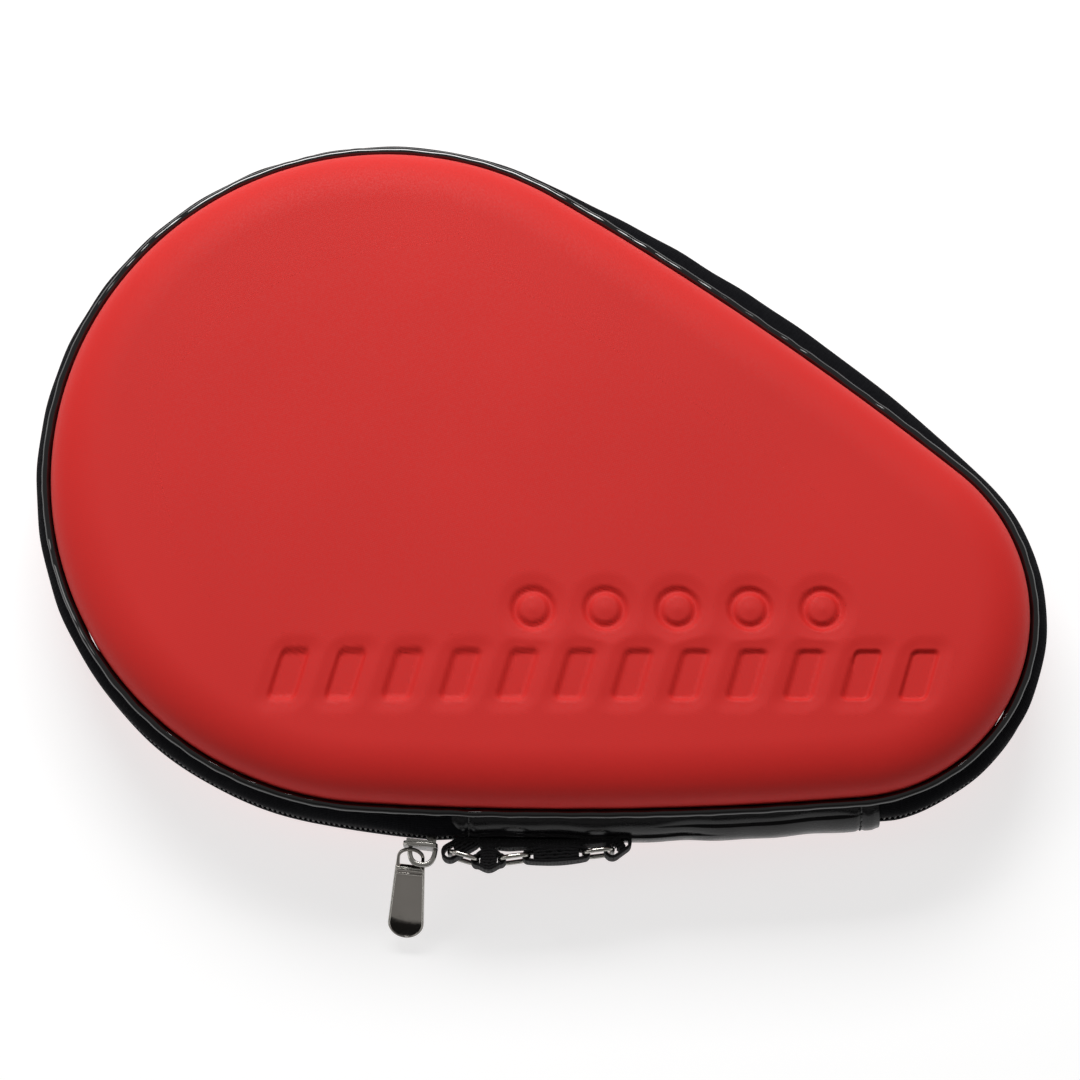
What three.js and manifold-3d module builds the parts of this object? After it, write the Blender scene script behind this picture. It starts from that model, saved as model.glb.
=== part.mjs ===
// Pear-shaped hard clamshell case for a table-tennis paddle.
// Units are millimetres and +Z is up. The origin is the centre of the round blade end on the flat
// rear face, +X runs along the case to its narrow handle end, and the spine is on the -Y side.
import * as THREE from 'three';
import { mergeVertices } from 'three/addons/utils/BufferGeometryUtils.js';
import Module from 'manifold-3d';

// ---- Driving dimensions ----

// Plan outline, measured on the centre line of the piping
const BLADE_RADIUS = 100;
const HANDLE_RADIUS = 56;
const CENTRE_DISTANCE = 141.5;
const SIDE_RADIUS = 1000;

// Heights
const CASE_THICKNESS = 48;
const SEAM_SPACING = 24;

// Moulded shells and their linings
const SHELL_WALL = 3.5;
const SHELL_ROLL = 17;
const LINING_THICKNESS = 0.9;

// Piping and the binding behind it
const PIPING_RADIUS = 1.25;
const BINDING_THICKNESS = 2.6;
const BINDING_HEIGHT = 5.5;

// Zip
const ZIP_BOW_BLADE = 3.2;
const ZIP_BOW_HANDLE = 3.8;
const ZIP_SIDE_RADIUS = 480;
const TAPE_THICKNESS = 0.9;
const TAPE_FLAT = 1.9;
const TEETH_THICKNESS = 1.4;
const TEETH_HEIGHT = 2.4;
const TEETH_GAP = 1.2;

// Spine strip on the lower side
const SPINE_START = 26.5;
const SPINE_LENGTH = 124;
const SPINE_BOW = 4.8;
const SPINE_THICKNESS = 1.6;
const SPINE_LINING_THICKNESS = 0.8;

// Zip slider and its pull tab
const SLIDER_LENGTH = 10.2;
const SLIDER_HEIGHT = 9.2;
const SLIDER_PLATE = 1.0;
const SLIDER_SIDE_PLAY = 2.0;
const SLIDER_CORNER = 1.6;
const SLIDER_POST = { from: 1.6, to: 4.4, height: 0.6 };
const SLIDER_TO_SPINE = 3.9;
const BRIDGE_OPENING = 4.8;
const BRIDGE_THICKNESS = 1.0;
const BRIDGE_WIDTH = 1.6;
const BRIDGE_LENGTH = 8.8;
const TAB_LENGTH = 32;
const TAB_TOP_WIDTH = 8.2;
const TAB_END_WIDTH = 10.6;
const TAB_THICKNESS = 1.8;
const TAB_LOOP_THICKNESS = 1.0;
const TAB_LEG = 1.0;
const TAB_WINDOW = 5.4;
const TAB_DROP_ANGLE = 44;
const TAB_OFFSET = 2.5;
const TAB_BAR_RISE = 1.6;
const TAB_PIVOT_OUT = 2.4;
const TAB_PIVOT_UP = 0.45;

// Carry strap on the spine
const RING_LENGTH = 9.7;
const RING_WIDTH = 14;
const RING_WIRE = 1.4;
const WEBBING_WIDTH = 8.6;
const WEBBING_THICKNESS = 0.9;
const SWING_PLAY = 1.0;
const SEWN_TAB_LENGTH = 1.6;

// Inside fittings
const PADDLE_STRAP_WIDTH = 24;
const PADDLE_STRAP_X = 148;
const POCKET_EDGE_X = 22;
const PADDLE_STRAP_THICKNESS = 1.2;
const PADDLE_STRAP_DROP = 4;
const POCKET_THICKNESS = 1.0;
const POCKET_INSET = 6.8;
const HEM_WIDTH = 9;
const HEM_THICKNESS = 1.8;

// Pressed pattern on the front face
const PATTERN_DEPTH = 0.7;
const PATTERN_ANGLE = 17.3;
const BAR_COUNT = 12;
const BAR_PITCH = 16.6;
const BAR_WIDTH = 8.5;
const BAR_HEIGHT = 15;
const BAR_SLANT = 4.5;
const DOT_COUNT = 5;
const DOT_PITCH = 21;
const DOT_RADIUS = 6.5;
const DOT_GROOVE = 2.4;
const BAR_ROW = { along: 64.5, across: -62.5 };
const DOT_ROW = { along: 86, across: -43 };

// Gap between pieces that touch on the real case
const FIT_GAP = 0.3;

// Fineness of the outline
const BLADE_STEPS = 26;
const HANDLE_STEPS = 13;
const SIDE_STEPS = 4;
const ROLL_STEPS = 5;

// ---- Derived heights ----

const MID_Z = CASE_THICKNESS / 2;
const RIM_HEIGHT = (CASE_THICKNESS - SEAM_SPACING) / 2;
const FRONT_SEAM_Z = MID_Z + SEAM_SPACING / 2;
const DEGREE = Math.PI / 180;

// ---- Materials ----

function finish(color, roughness, metalness = 0) {
  return new THREE.MeshStandardMaterial({ color, roughness, metalness });
}

const redFabric = finish(0xc73434, 0.72);
const blackFabric = finish(0x18181a, 0.85);
const blackGloss = finish(0x0d0d0e, 0.22);
const blackCoil = finish(0x101011, 0.45);
const blackLeather = finish(0x121213, 0.35);
const blackWebbing = finish(0x151516, 0.8);
const greyLining = finish(0x2a2a2d, 0.9);
const bindingCloth = finish(0x1c1c1f, 0.85);
const meshCloth = finish(0x26262a, 0.8);
const nickel = finish(0xc4c2bd, 0.22, 1);
const darkNickel = finish(0x55524f, 0.14, 1);

// ---- Solid helpers ----

const wasm = await Module();
wasm.setup();

function toSolid(geometry) {
  const bare = geometry.clone();
  bare.deleteAttribute('normal');
  bare.deleteAttribute('uv');
  const merged = mergeVertices(bare, 1e-4);
  const vertProperties = new Float32Array(merged.attributes.position.array);
  const triVerts = new Uint32Array(merged.index.array);
  return new wasm.Manifold(new wasm.Mesh({ numProp: 3, vertProperties, triVerts }));
}

function toGeometry(solid) {
  const mesh = solid.getMesh();
  const geometry = new THREE.BufferGeometry();
  geometry.setAttribute('position', new THREE.BufferAttribute(new Float32Array(mesh.vertProperties), 3));
  geometry.setIndex(new THREE.BufferAttribute(new Uint32Array(mesh.triVerts), 1));
  geometry.computeVertexNormals();
  return geometry;
}

// ---- Outlines ----

// A pear outline: two end arcs joined by two wide side arcs that run smoothly into both
const SEAM = { blade: BLADE_RADIUS, handle: HANDLE_RADIUS, side: SIDE_RADIUS };
const ZIP = {
  blade: BLADE_RADIUS + ZIP_BOW_BLADE,
  handle: HANDLE_RADIUS + ZIP_BOW_HANDLE,
  side: ZIP_SIDE_RADIUS,
};

function sideArc({ blade, handle, side }) {
  const toBlade = side - blade;
  const toHandle = side - handle;
  const x = (toBlade ** 2 - toHandle ** 2 + CENTRE_DISTANCE ** 2) / (2 * CENTRE_DISTANCE);
  const y = Math.sqrt(toBlade ** 2 - x ** 2);
  return { x, y, start: Math.atan2(-y, -x), end: Math.atan2(-y, CENTRE_DISTANCE - x) };
}

function arcPoints(x, y, radius, from, to, steps) {
  return Array.from({ length: steps }, (_, i) => {
    const angle = from + (to - from) * i / steps;
    return new THREE.Vector2(x + radius * Math.cos(angle), y + radius * Math.sin(angle));
  });
}

function outlinePoints(shape, grow) {
  const arc = sideArc(shape);
  const side = shape.side + grow;
  return [
    ...arcPoints(arc.x, arc.y, side, arc.start, arc.end, SIDE_STEPS),
    ...arcPoints(CENTRE_DISTANCE, 0, shape.handle + grow, arc.end, -arc.end, HANDLE_STEPS),
    ...arcPoints(arc.x, -arc.y, side, -arc.end, -arc.start, SIDE_STEPS),
    ...arcPoints(0, 0, shape.blade + grow, -arc.start, 2 * Math.PI + arc.start, BLADE_STEPS),
  ];
}

// Skins a stack of equal outlines. Each level is [shape, grow, z]. A closed stack makes a ring, whose
// levels turn anticlockwise seen with outwards to the right and z up. An open one is capped at both ends.
function loftOutlines(levels, closed) {
  const rings = levels.map(([shape, grow]) => outlinePoints(shape, grow));
  const count = rings[0].length;
  const positions = levels.flatMap((level, k) => rings[k].flatMap((p) => [p.x, p.y, level[2]]));
  const index = [];
  const last = closed ? levels.length : levels.length - 1;
  for (let k = 0; k < last; k += 1) {
    const low = k * count;
    const high = ((k + 1) % levels.length) * count;
    for (let i = 0; i < count; i += 1) {
      const next = (i + 1) % count;
      index.push(low + i, low + next, high + next, low + i, high + next, high + i);
    }
  }
  if (!closed) {
    const top = (levels.length - 1) * count;
    for (const [a, b, c] of THREE.ShapeUtils.triangulateShape(rings[0], [])) {
      index.push(c, b, a);
    }
    for (const [a, b, c] of THREE.ShapeUtils.triangulateShape(rings[levels.length - 1], [])) {
      index.push(top + a, top + b, top + c);
    }
  }
  const geometry = new THREE.BufferGeometry();
  geometry.setAttribute('position', new THREE.Float32BufferAttribute(positions, 3));
  geometry.setIndex(index);
  return geometry;
}

const ringSolid = (levels) => toSolid(loftOutlines(levels, true));

// A filled dome on the front seam plane: a short upright rim, then an elliptical roll up to a flat face
function domeSolid(grow, height, roll) {
  const rim = 1;
  const levels = [[SEAM, grow, FRONT_SEAM_Z]];
  for (let k = 0; k <= ROLL_STEPS; k += 1) {
    const turn = (k / ROLL_STEPS) * 90 * DEGREE;
    const z = FRONT_SEAM_Z + rim + (height - rim) * Math.sin(turn);
    levels.push([SEAM, grow - roll * (1 - Math.cos(turn)), z]);
  }
  return toSolid(loftOutlines(levels, false));
}

function boxSolid(xMin, xMax, yMin, yMax, zMin, zMax, matrix) {
  const box = new THREE.BoxGeometry(xMax - xMin, yMax - yMin, zMax - zMin);
  box.translate((xMin + xMax) / 2, (yMin + yMax) / 2, (zMin + zMax) / 2);
  if (matrix) box.applyMatrix4(matrix);
  return toSolid(box);
}

// Mirrors a front-half solid into the rear half
const mirrorToRear = (solid) => solid.mirror([0, 0, 1]).translate([0, 0, CASE_THICKNESS]);

// ---- Places along the lower side ----

const seamArc = sideArc(SEAM);
const spineAngle = seamArc.start + (SPINE_START + SPINE_LENGTH / 2) / SIDE_RADIUS;
const spineTurn = spineAngle + Math.PI / 2;
const spinePoint = new THREE.Vector3(
  seamArc.x + SIDE_RADIUS * Math.cos(spineAngle),
  seamArc.y + SIDE_RADIUS * Math.sin(spineAngle),
  MID_Z,
);

// The spine's own frame: x along the spine towards the handle end, y into the case, z up
const spineFrame = new THREE.Group();
spineFrame.position.copy(spinePoint);
spineFrame.rotation.z = spineTurn;
spineFrame.updateMatrixWorld(true);

// The direction and place of the zip line where it is a given distance along the spine's frame
function zipLineAt(along) {
  const arc = sideArc(ZIP);
  const dx = arc.x - spinePoint.x;
  const dy = arc.y - spinePoint.y;
  const centreAlong = dx * Math.cos(spineTurn) + dy * Math.sin(spineTurn);
  const angle = spineTurn - Math.acos((along - centreAlong) / ZIP.side);
  return {
    x: arc.x + ZIP.side * Math.cos(angle),
    y: arc.y + ZIP.side * Math.sin(angle),
    turn: angle + Math.PI / 2,
  };
}

// The slider's own frame: x along the zip towards the spine, y into the case, z up
const sliderPlace = zipLineAt(-SPINE_LENGTH / 2 - SLIDER_TO_SPINE - SLIDER_LENGTH / 2);
const sliderFrame = new THREE.Group();
sliderFrame.position.set(sliderPlace.x, sliderPlace.y, MID_Z);
sliderFrame.rotation.z = sliderPlace.turn;
sliderFrame.updateMatrixWorld(true);

// Room that the zip leaves for the spine strip, and the front zip leaves for the parked slider
const REACH = 20;
const SPINE_END_GAP = 0.9;

// A tall block along the spine, a given distance longer than the spine at each end
function spineBlock(longer) {
  const half = SPINE_LENGTH / 2 + longer;
  return boxSolid(-half, half, -REACH, REACH, -MID_Z, MID_Z, spineFrame.matrixWorld);
}

const spineRoom = spineBlock(SPINE_END_GAP);
const spineSpan = spineBlock(0);
const SLIDER_ROOM = 1.7;
const sliderRoom = boxSolid(
  -SLIDER_LENGTH / 2 - SLIDER_ROOM,
  SLIDER_LENGTH / 2 + SLIDER_ROOM,
  -REACH / 2,
  REACH / 2,
  -1,
  SLIDER_HEIGHT / 2 + SLIDER_ROOM,
  sliderFrame.matrixWorld,
);

// ---- Assembly ----

const paddleCase = new THREE.Group();
paddleCase.add(spineFrame, sliderFrame);

function addPart(name, shape, material, parent = paddleCase) {
  const geometry = shape.isBufferGeometry ? shape : toGeometry(shape);
  const mesh = new THREE.Mesh(geometry, material);
  mesh.name = name;
  parent.add(mesh);
  return mesh;
}

// ---- Shells and linings ----

const shellGrow = -PIPING_RADIUS - FIT_GAP;
const outerDome = domeSolid(shellGrow, RIM_HEIGHT, SHELL_ROLL);
const shellInside = domeSolid(shellGrow - SHELL_WALL, RIM_HEIGHT - SHELL_WALL, SHELL_ROLL - SHELL_WALL);
const liningGap = SHELL_WALL + FIT_GAP;
const liningOutside = domeSolid(shellGrow - liningGap, RIM_HEIGHT - liningGap, SHELL_ROLL - liningGap);
const liningDepth = liningGap + LINING_THICKNESS;
const liningInside = domeSolid(shellGrow - liningDepth, RIM_HEIGHT - liningDepth, SHELL_ROLL - liningDepth);

// Pressed pattern: a row of slanted bars with a row of round grooves above it
const patternFrame = new THREE.Matrix4().makeRotationZ(PATTERN_ANGLE * DEGREE);

function pressed(shape, along, across) {
  const cutter = new THREE.ExtrudeGeometry(shape, { depth: 2 * PATTERN_DEPTH, bevelEnabled: false });
  cutter.translate(along, across, CASE_THICKNESS - PATTERN_DEPTH);
  cutter.applyMatrix4(patternFrame);
  return toSolid(cutter);
}

function patternCutters() {
  const barShape = new THREE.Shape([
    new THREE.Vector2(-BAR_WIDTH / 2 - BAR_SLANT / 2, -BAR_HEIGHT / 2),
    new THREE.Vector2(BAR_WIDTH / 2 - BAR_SLANT / 2, -BAR_HEIGHT / 2),
    new THREE.Vector2(BAR_WIDTH / 2 + BAR_SLANT / 2, BAR_HEIGHT / 2),
    new THREE.Vector2(-BAR_WIDTH / 2 + BAR_SLANT / 2, BAR_HEIGHT / 2),
  ]);
  const dotShape = new THREE.Shape(arcPoints(0, 0, DOT_RADIUS, 0, 2 * Math.PI, 12));
  dotShape.holes.push(new THREE.Path(arcPoints(0, 0, DOT_RADIUS - DOT_GROOVE, 0, 2 * Math.PI, 12)));
  const cutters = [];
  for (let i = 0; i < BAR_COUNT; i += 1) {
    cutters.push(pressed(barShape, BAR_ROW.along + (i - (BAR_COUNT - 1) / 2) * BAR_PITCH, BAR_ROW.across));
  }
  for (let i = 0; i < DOT_COUNT; i += 1) {
    cutters.push(pressed(dotShape, DOT_ROW.along + (i - (DOT_COUNT - 1) / 2) * DOT_PITCH, DOT_ROW.across));
  }
  return cutters;
}

const plainShell = outerDome.subtract(shellInside);
const pressedShell = patternCutters().reduce((shell, cutter) => shell.subtract(cutter), plainShell);
const lining = liningOutside.subtract(liningInside);
addPart('front_shell', pressedShell, redFabric);
addPart('rear_shell', mirrorToRear(plainShell), redFabric);
addPart('front_lining', lining, greyLining);
addPart('rear_lining', mirrorToRear(lining), greyLining);

// ---- Piping and binding ----

function pipingLevels() {
  const sides = 6;
  return Array.from({ length: sides }, (_, i) => {
    const turn = (i / sides) * 2 * Math.PI;
    return [SEAM, PIPING_RADIUS * Math.cos(turn), FRONT_SEAM_Z + PIPING_RADIUS * Math.sin(turn)];
  });
}

const piping = ringSolid(pipingLevels());
addPart('front_piping', piping, blackGloss);
addPart('rear_piping', mirrorToRear(piping), blackGloss);

const bindingTop = FRONT_SEAM_Z - FIT_GAP;
const bindingBottom = bindingTop - BINDING_HEIGHT;
const bindingInside = shellGrow - FIT_GAP - BINDING_THICKNESS;
const binding = ringSolid([
  [SEAM, bindingInside, bindingBottom],
  [SEAM, bindingInside + BINDING_THICKNESS, bindingBottom],
  [SEAM, bindingInside + BINDING_THICKNESS, bindingTop],
  [SEAM, bindingInside, bindingTop],
]);
addPart('front_binding', binding, bindingCloth);
addPart('rear_binding', mirrorToRear(binding), bindingCloth);

// ---- Zip tapes and coil teeth ----

const teethBottom = MID_Z + TEETH_GAP / 2;
const teethTop = teethBottom + TEETH_HEIGHT;
const tapeBottom = teethTop + FIT_GAP;
const tapeTop = FRONT_SEAM_Z - PIPING_RADIUS - FIT_GAP;
const tapeRoot = shellGrow + FIT_GAP;
const halfTape = TAPE_THICKNESS / 2;
const tapeRing = ringSolid([
  [ZIP, -halfTape, tapeBottom],
  [ZIP, halfTape, tapeBottom],
  [ZIP, halfTape, tapeBottom + TAPE_FLAT],
  [SEAM, tapeRoot + TAPE_THICKNESS, tapeTop],
  [SEAM, tapeRoot, tapeTop],
  [ZIP, -halfTape, tapeBottom + TAPE_FLAT],
]);
const teethRing = ringSolid([
  [ZIP, -TEETH_THICKNESS / 2, teethBottom],
  [ZIP, TEETH_THICKNESS / 2, teethBottom],
  [ZIP, TEETH_THICKNESS / 2, teethTop],
  [ZIP, -TEETH_THICKNESS / 2, teethTop],
]);
const tape = tapeRing.subtract(spineRoom);
const teeth = teethRing.subtract(spineRoom);
addPart('front_zip_tape', tape.subtract(sliderRoom), blackFabric);
addPart('rear_zip_tape', mirrorToRear(tape), blackFabric);

// The parked slider's room leaves a short stub of front teeth beside the spine, which is dropped
const frontTeethRoom = boxSolid(
  -SLIDER_LENGTH / 2 - SLIDER_ROOM,
  SLIDER_LENGTH / 2 + SLIDER_TO_SPINE + REACH / 4,
  -REACH / 2,
  REACH / 2,
  -1,
  SLIDER_HEIGHT / 2,
  sliderFrame.matrixWorld,
);
addPart('front_zip_teeth', teeth.subtract(frontTeethRoom), blackCoil);
addPart('rear_zip_teeth', mirrorToRear(teeth), blackCoil);

// ---- Spine ----

const spineEdge = SEAM_SPACING / 2 - PIPING_RADIUS - 0.5;
const spineRoot = shellGrow + FIT_GAP;

// A band that bows outwards between the two seams, cut to the spine's length
function spineBand(inner, outer, halfHeight) {
  const steps = 4;
  const levels = [];
  const bowAt = (z) => spineRoot + (SPINE_BOW - spineRoot) * (1 - (z / spineEdge) ** 2);
  for (let i = -steps; i <= steps; i += 1) {
    const z = (i / steps) * halfHeight;
    levels.push([SEAM, bowAt(z) + outer, MID_Z + z]);
  }
  for (let i = steps; i >= -steps; i -= 1) {
    const z = (i / steps) * halfHeight;
    levels.push([SEAM, bowAt(z) + inner, MID_Z + z]);
  }
  return ringSolid(levels).intersect(spineSpan);
}

addPart('spine_cover', spineBand(0, SPINE_THICKNESS, spineEdge), blackLeather);
addPart('spine_lining', spineBand(-FIT_GAP - SPINE_LINING_THICKNESS, -FIT_GAP, spineEdge - 3), greyLining);

// ---- Slider and pull tab ----

const channelHalf = TEETH_THICKNESS / 2 + SLIDER_SIDE_PLAY;
const sliderFace = channelHalf + SLIDER_PLATE;

// The nose towards the spine is wider than the tail, and its corners are rounded
function sliderPlateShape() {
  const nose = SLIDER_LENGTH / 2;
  const wide = SLIDER_HEIGHT / 2;
  const narrow = wide * 0.78;
  const round = SLIDER_CORNER;
  const shape = new THREE.Shape();
  shape.moveTo(-nose + round, -narrow);
  shape.lineTo(nose - round, -wide);
  shape.quadraticCurveTo(nose, -wide, nose, -wide + round);
  shape.lineTo(nose, wide - round);
  shape.quadraticCurveTo(nose, wide, nose - round, wide);
  shape.lineTo(-nose + round, narrow);
  shape.quadraticCurveTo(-nose, narrow, -nose, narrow - round);
  shape.lineTo(-nose, -narrow + round);
  shape.quadraticCurveTo(-nose, -narrow, -nose + round, -narrow);
  return shape;
}

function sliderPlate(yMin) {
  const plate = new THREE.ExtrudeGeometry(sliderPlateShape(), {
    depth: SLIDER_PLATE,
    bevelEnabled: false,
    curveSegments: 3,
  });
  plate.rotateX(Math.PI / 2);
  plate.translate(0, yMin + SLIDER_PLATE, 0);
  return toSolid(plate);
}

const postReach = channelHalf + SLIDER_PLATE / 5;
const post = boxSolid(
  SLIDER_POST.from,
  SLIDER_POST.to,
  -postReach,
  postReach,
  -SLIDER_POST.height / 2,
  SLIDER_POST.height / 2,
);
const sliderBody = sliderPlate(-sliderFace).add(sliderPlate(channelHalf)).add(post);
addPart('slider_body', sliderBody, nickel, sliderFrame);

// The bridge is a thin arched strap that stands on the outer plate
function bridgeShape() {
  const half = BRIDGE_LENGTH / 2;
  const top = BRIDGE_OPENING + BRIDGE_THICKNESS;
  const round = 2.6;
  const shape = new THREE.Shape();
  shape.moveTo(-half, 0);
  shape.lineTo(-half, top - round);
  shape.quadraticCurveTo(-half, top, -half + round, top);
  shape.lineTo(half - round, top);
  shape.quadraticCurveTo(half, top, half, top - round);
  shape.lineTo(half, 0);
  shape.lineTo(half - BRIDGE_THICKNESS, 0);
  shape.lineTo(half - BRIDGE_THICKNESS, BRIDGE_OPENING - round + BRIDGE_THICKNESS);
  shape.quadraticCurveTo(half - BRIDGE_THICKNESS, BRIDGE_OPENING, half - round, BRIDGE_OPENING);
  shape.lineTo(-half + round, BRIDGE_OPENING);
  shape.quadraticCurveTo(
    -half + BRIDGE_THICKNESS,
    BRIDGE_OPENING,
    -half + BRIDGE_THICKNESS,
    BRIDGE_OPENING - round + BRIDGE_THICKNESS,
  );
  shape.lineTo(-half + BRIDGE_THICKNESS, 0);
  shape.closePath();
  return shape;
}

const bridge = new THREE.ExtrudeGeometry(bridgeShape(), {
  depth: BRIDGE_WIDTH,
  bevelEnabled: false,
  curveSegments: 4,
});
bridge.translate(0, 0, -BRIDGE_WIDTH / 2);
bridge.rotateX(Math.PI);
const bridgeMesh = addPart('slider_bridge', toSolid(bridge), nickel, sliderFrame);
bridgeMesh.position.set((SLIDER_LENGTH - BRIDGE_LENGTH) / 2, -sliderFace - FIT_GAP / 2, 0);

// The tab is drawn with its loop's bar at the top and its round end at the bottom. Its frame's origin
// is on the right leg's middle, where that leg passes under the bridge.
function tabOutline() {
  const top = TAB_BAR_RISE + TAB_LEG / 2;
  const halfTop = TAB_TOP_WIDTH / 2;
  const halfEnd = TAB_END_WIDTH / 2;
  const endCentre = top - TAB_LENGTH + halfEnd;
  const round = halfTop;
  const shape = new THREE.Shape();
  shape.moveTo(-halfTop, top - round);
  shape.lineTo(-halfEnd, endCentre);
  shape.absarc(0, endCentre, halfEnd, Math.PI, 2 * Math.PI, false);
  shape.lineTo(halfTop, top - round);
  shape.bezierCurveTo(halfTop, top - round * 0.3, halfTop * 0.7, top, halfTop * 0.3, top);
  shape.lineTo(-halfTop * 0.3, top);
  shape.bezierCurveTo(-halfTop * 0.7, top, -halfTop, top - round * 0.3, -halfTop, top - round);
  return shape;
}

function tabWindow() {
  const top = TAB_BAR_RISE - TAB_LEG / 2;
  const half = TAB_TOP_WIDTH / 2 - TAB_LEG;
  const bottom = top - TAB_WINDOW;
  const round = 2.4;
  const path = new THREE.Path();
  path.moveTo(-half, bottom);
  path.lineTo(half, bottom);
  path.lineTo(half, top - round);
  path.quadraticCurveTo(half, top, half - round, top);
  path.lineTo(-half + round, top);
  path.quadraticCurveTo(-half, top, -half, top - round);
  path.closePath();
  return path;
}

// A flat slab of the given shape and thickness, centred on the tab's plane
function tabSlab(shape, thickness) {
  const slab = new THREE.ExtrudeGeometry(shape, { depth: thickness, bevelEnabled: false, curveSegments: 6 });
  slab.translate(0, 0, -thickness / 2);
  return toSolid(slab);
}

const loopShape = tabOutline();
loopShape.holes.push(tabWindow());
const plateTop = TAB_BAR_RISE - TAB_LEG / 2 - TAB_WINDOW;
const plateSpan = boxSolid(
  -TAB_END_WIDTH,
  TAB_END_WIDTH,
  -2 * TAB_LENGTH,
  plateTop,
  -TAB_THICKNESS,
  TAB_THICKNESS,
);
const tabPlate = tabSlab(tabOutline(), TAB_THICKNESS).intersect(plateSpan);
const tabFrame = new THREE.Group();
tabFrame.position.set(-TAB_OFFSET, -sliderFace - TAB_PIVOT_OUT, TAB_PIVOT_UP);
tabFrame.rotation.x = TAB_DROP_ANGLE * DEGREE;
sliderFrame.add(tabFrame);
addPart('pull_tab', tabSlab(loopShape, TAB_LOOP_THICKNESS).add(tabPlate), darkNickel, tabFrame);

// ---- Carry strap ----

// Distances along the spine from its blade-side end, and how far out each piece sits from the spine
const strapFrame = new THREE.Group();
const spineFaceY = -(SPINE_BOW + SPINE_THICKNESS);
strapFrame.position.set(-SPINE_LENGTH / 2, spineFaceY, 0);
spineFrame.add(strapFrame);

function ringGeometry() {
  const outline = (half, width, round) => {
    const path = new THREE.Shape();
    path.moveTo(-half + round, -width);
    path.lineTo(half - round, -width);
    path.quadraticCurveTo(half, -width, half, -width + round);
    path.lineTo(half, width - round);
    path.quadraticCurveTo(half, width, half - round, width);
    path.lineTo(-half + round, width);
    path.quadraticCurveTo(-half, width, -half, width - round);
    path.lineTo(-half, -width + round);
    path.quadraticCurveTo(-half, -width, -half + round, -width);
    return path;
  };
  const core = 0.3;
  const bevel = RING_WIRE / 2 - core;
  const shape = outline(RING_LENGTH / 2 - bevel, RING_WIDTH / 2 - bevel, 3);
  const inset = RING_WIRE - bevel;
  shape.holes.push(outline(RING_LENGTH / 2 - inset, RING_WIDTH / 2 - inset, 2));
  const ring = new THREE.ExtrudeGeometry(shape, {
    depth: 2 * core,
    bevelThickness: bevel,
    bevelSize: bevel,
    bevelSegments: 1,
    curveSegments: 3,
  });
  ring.translate(0, 0, -core);
  ring.rotateX(Math.PI / 2);
  return ring;
}

// A flat loop of webbing round two bars that are a given distance apart
function webbingLoop(span, clear) {
  const inner = RING_WIRE / 2 + clear;
  const outer = inner + WEBBING_THICKNESS;
  const racetrack = (radius) => [
    ...arcPoints(span / 2, 0, radius, -Math.PI / 2, Math.PI / 2, 6),
    new THREE.Vector2(span / 2, radius),
    ...arcPoints(-span / 2, 0, radius, Math.PI / 2, 1.5 * Math.PI, 6),
    new THREE.Vector2(-span / 2, -radius),
  ];
  const shape = new THREE.Shape(racetrack(outer));
  shape.holes.push(new THREE.Path(racetrack(inner)));
  const loopBand = new THREE.ExtrudeGeometry(shape, { depth: WEBBING_WIDTH, bevelEnabled: false });
  loopBand.translate(0, 0, -WEBBING_WIDTH / 2);
  return loopBand;
}

const ringPlaces = [
  { name: 'left_strap_ring', along: 3.0, out: 3.2, tilt: 18 },
  { name: 'middle_strap_ring', along: 17.8, out: 4.0, tilt: -6 },
  { name: 'right_strap_ring', along: 42.4, out: 2.9, tilt: -5 },
];
const rings = ringPlaces.map(({ name, along, out, tilt }) => {
  const ring = addPart(name, toSolid(ringGeometry()), nickel, strapFrame);
  ring.position.set(along, -out, 0);
  ring.rotation.z = -tilt * DEGREE;
  ring.updateMatrix();
  return ring;
});

// The middle of a ring's end bar, on the side given by sign, in the strap's frame
function barOf(ring, sign) {
  return new THREE.Vector3(sign * (RING_LENGTH - RING_WIRE) / 2, 0, 0).applyMatrix4(ring.matrix);
}

function addWebbingLoop(name, from, to, play) {
  const middle = from.clone().add(to).multiplyScalar(0.5);
  const loopMesh = addPart(name, toSolid(webbingLoop(from.distanceTo(to), play)), blackWebbing, strapFrame);
  loopMesh.position.copy(middle);
  loopMesh.rotation.z = Math.atan2(to.y - from.y, to.x - from.x);
}

addWebbingLoop('left_webbing_loop', barOf(rings[0], 1), barOf(rings[1], -1), FIT_GAP);
addWebbingLoop('right_webbing_loop', barOf(rings[1], 1), barOf(rings[2], -1), FIT_GAP);

// A sewn tab is a slack webbing loop round a ring's outer bar, flat against the spine, so that the
// strap can swing in it
function addSewnTab(name, bar) {
  addWebbingLoop(name, bar, new THREE.Vector3(bar.x + SEWN_TAB_LENGTH, bar.y, 0), SWING_PLAY);
}

addSewnTab('left_sewn_tab', barOf(rings[0], -1));
addSewnTab('right_sewn_tab', barOf(rings[2], 1));

// ---- Inside fittings ----

const insideGrow = bindingInside - FIT_GAP;

// A flat sheet across the case from its outline in by grow, between two heights and two places along X
function sheetAcross(grow, zLow, zHigh, xFrom, xTo) {
  const span = boxSolid(xFrom, xTo, -BLADE_RADIUS, BLADE_RADIUS, 0, CASE_THICKNESS);
  return toSolid(loftOutlines([[SEAM, grow, zLow], [SEAM, grow, zHigh]], false)).intersect(span);
}

// Elastic band across the handle end of the rear half
const paddleStrapTop = MID_Z - PADDLE_STRAP_DROP;
const paddleStrap = sheetAcross(
  insideGrow,
  paddleStrapTop - PADDLE_STRAP_THICKNESS,
  paddleStrapTop,
  PADDLE_STRAP_X - PADDLE_STRAP_WIDTH / 2,
  PADDLE_STRAP_X + PADDLE_STRAP_WIDTH / 2,
);
addPart('paddle_strap', paddleStrap, blackWebbing);

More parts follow.
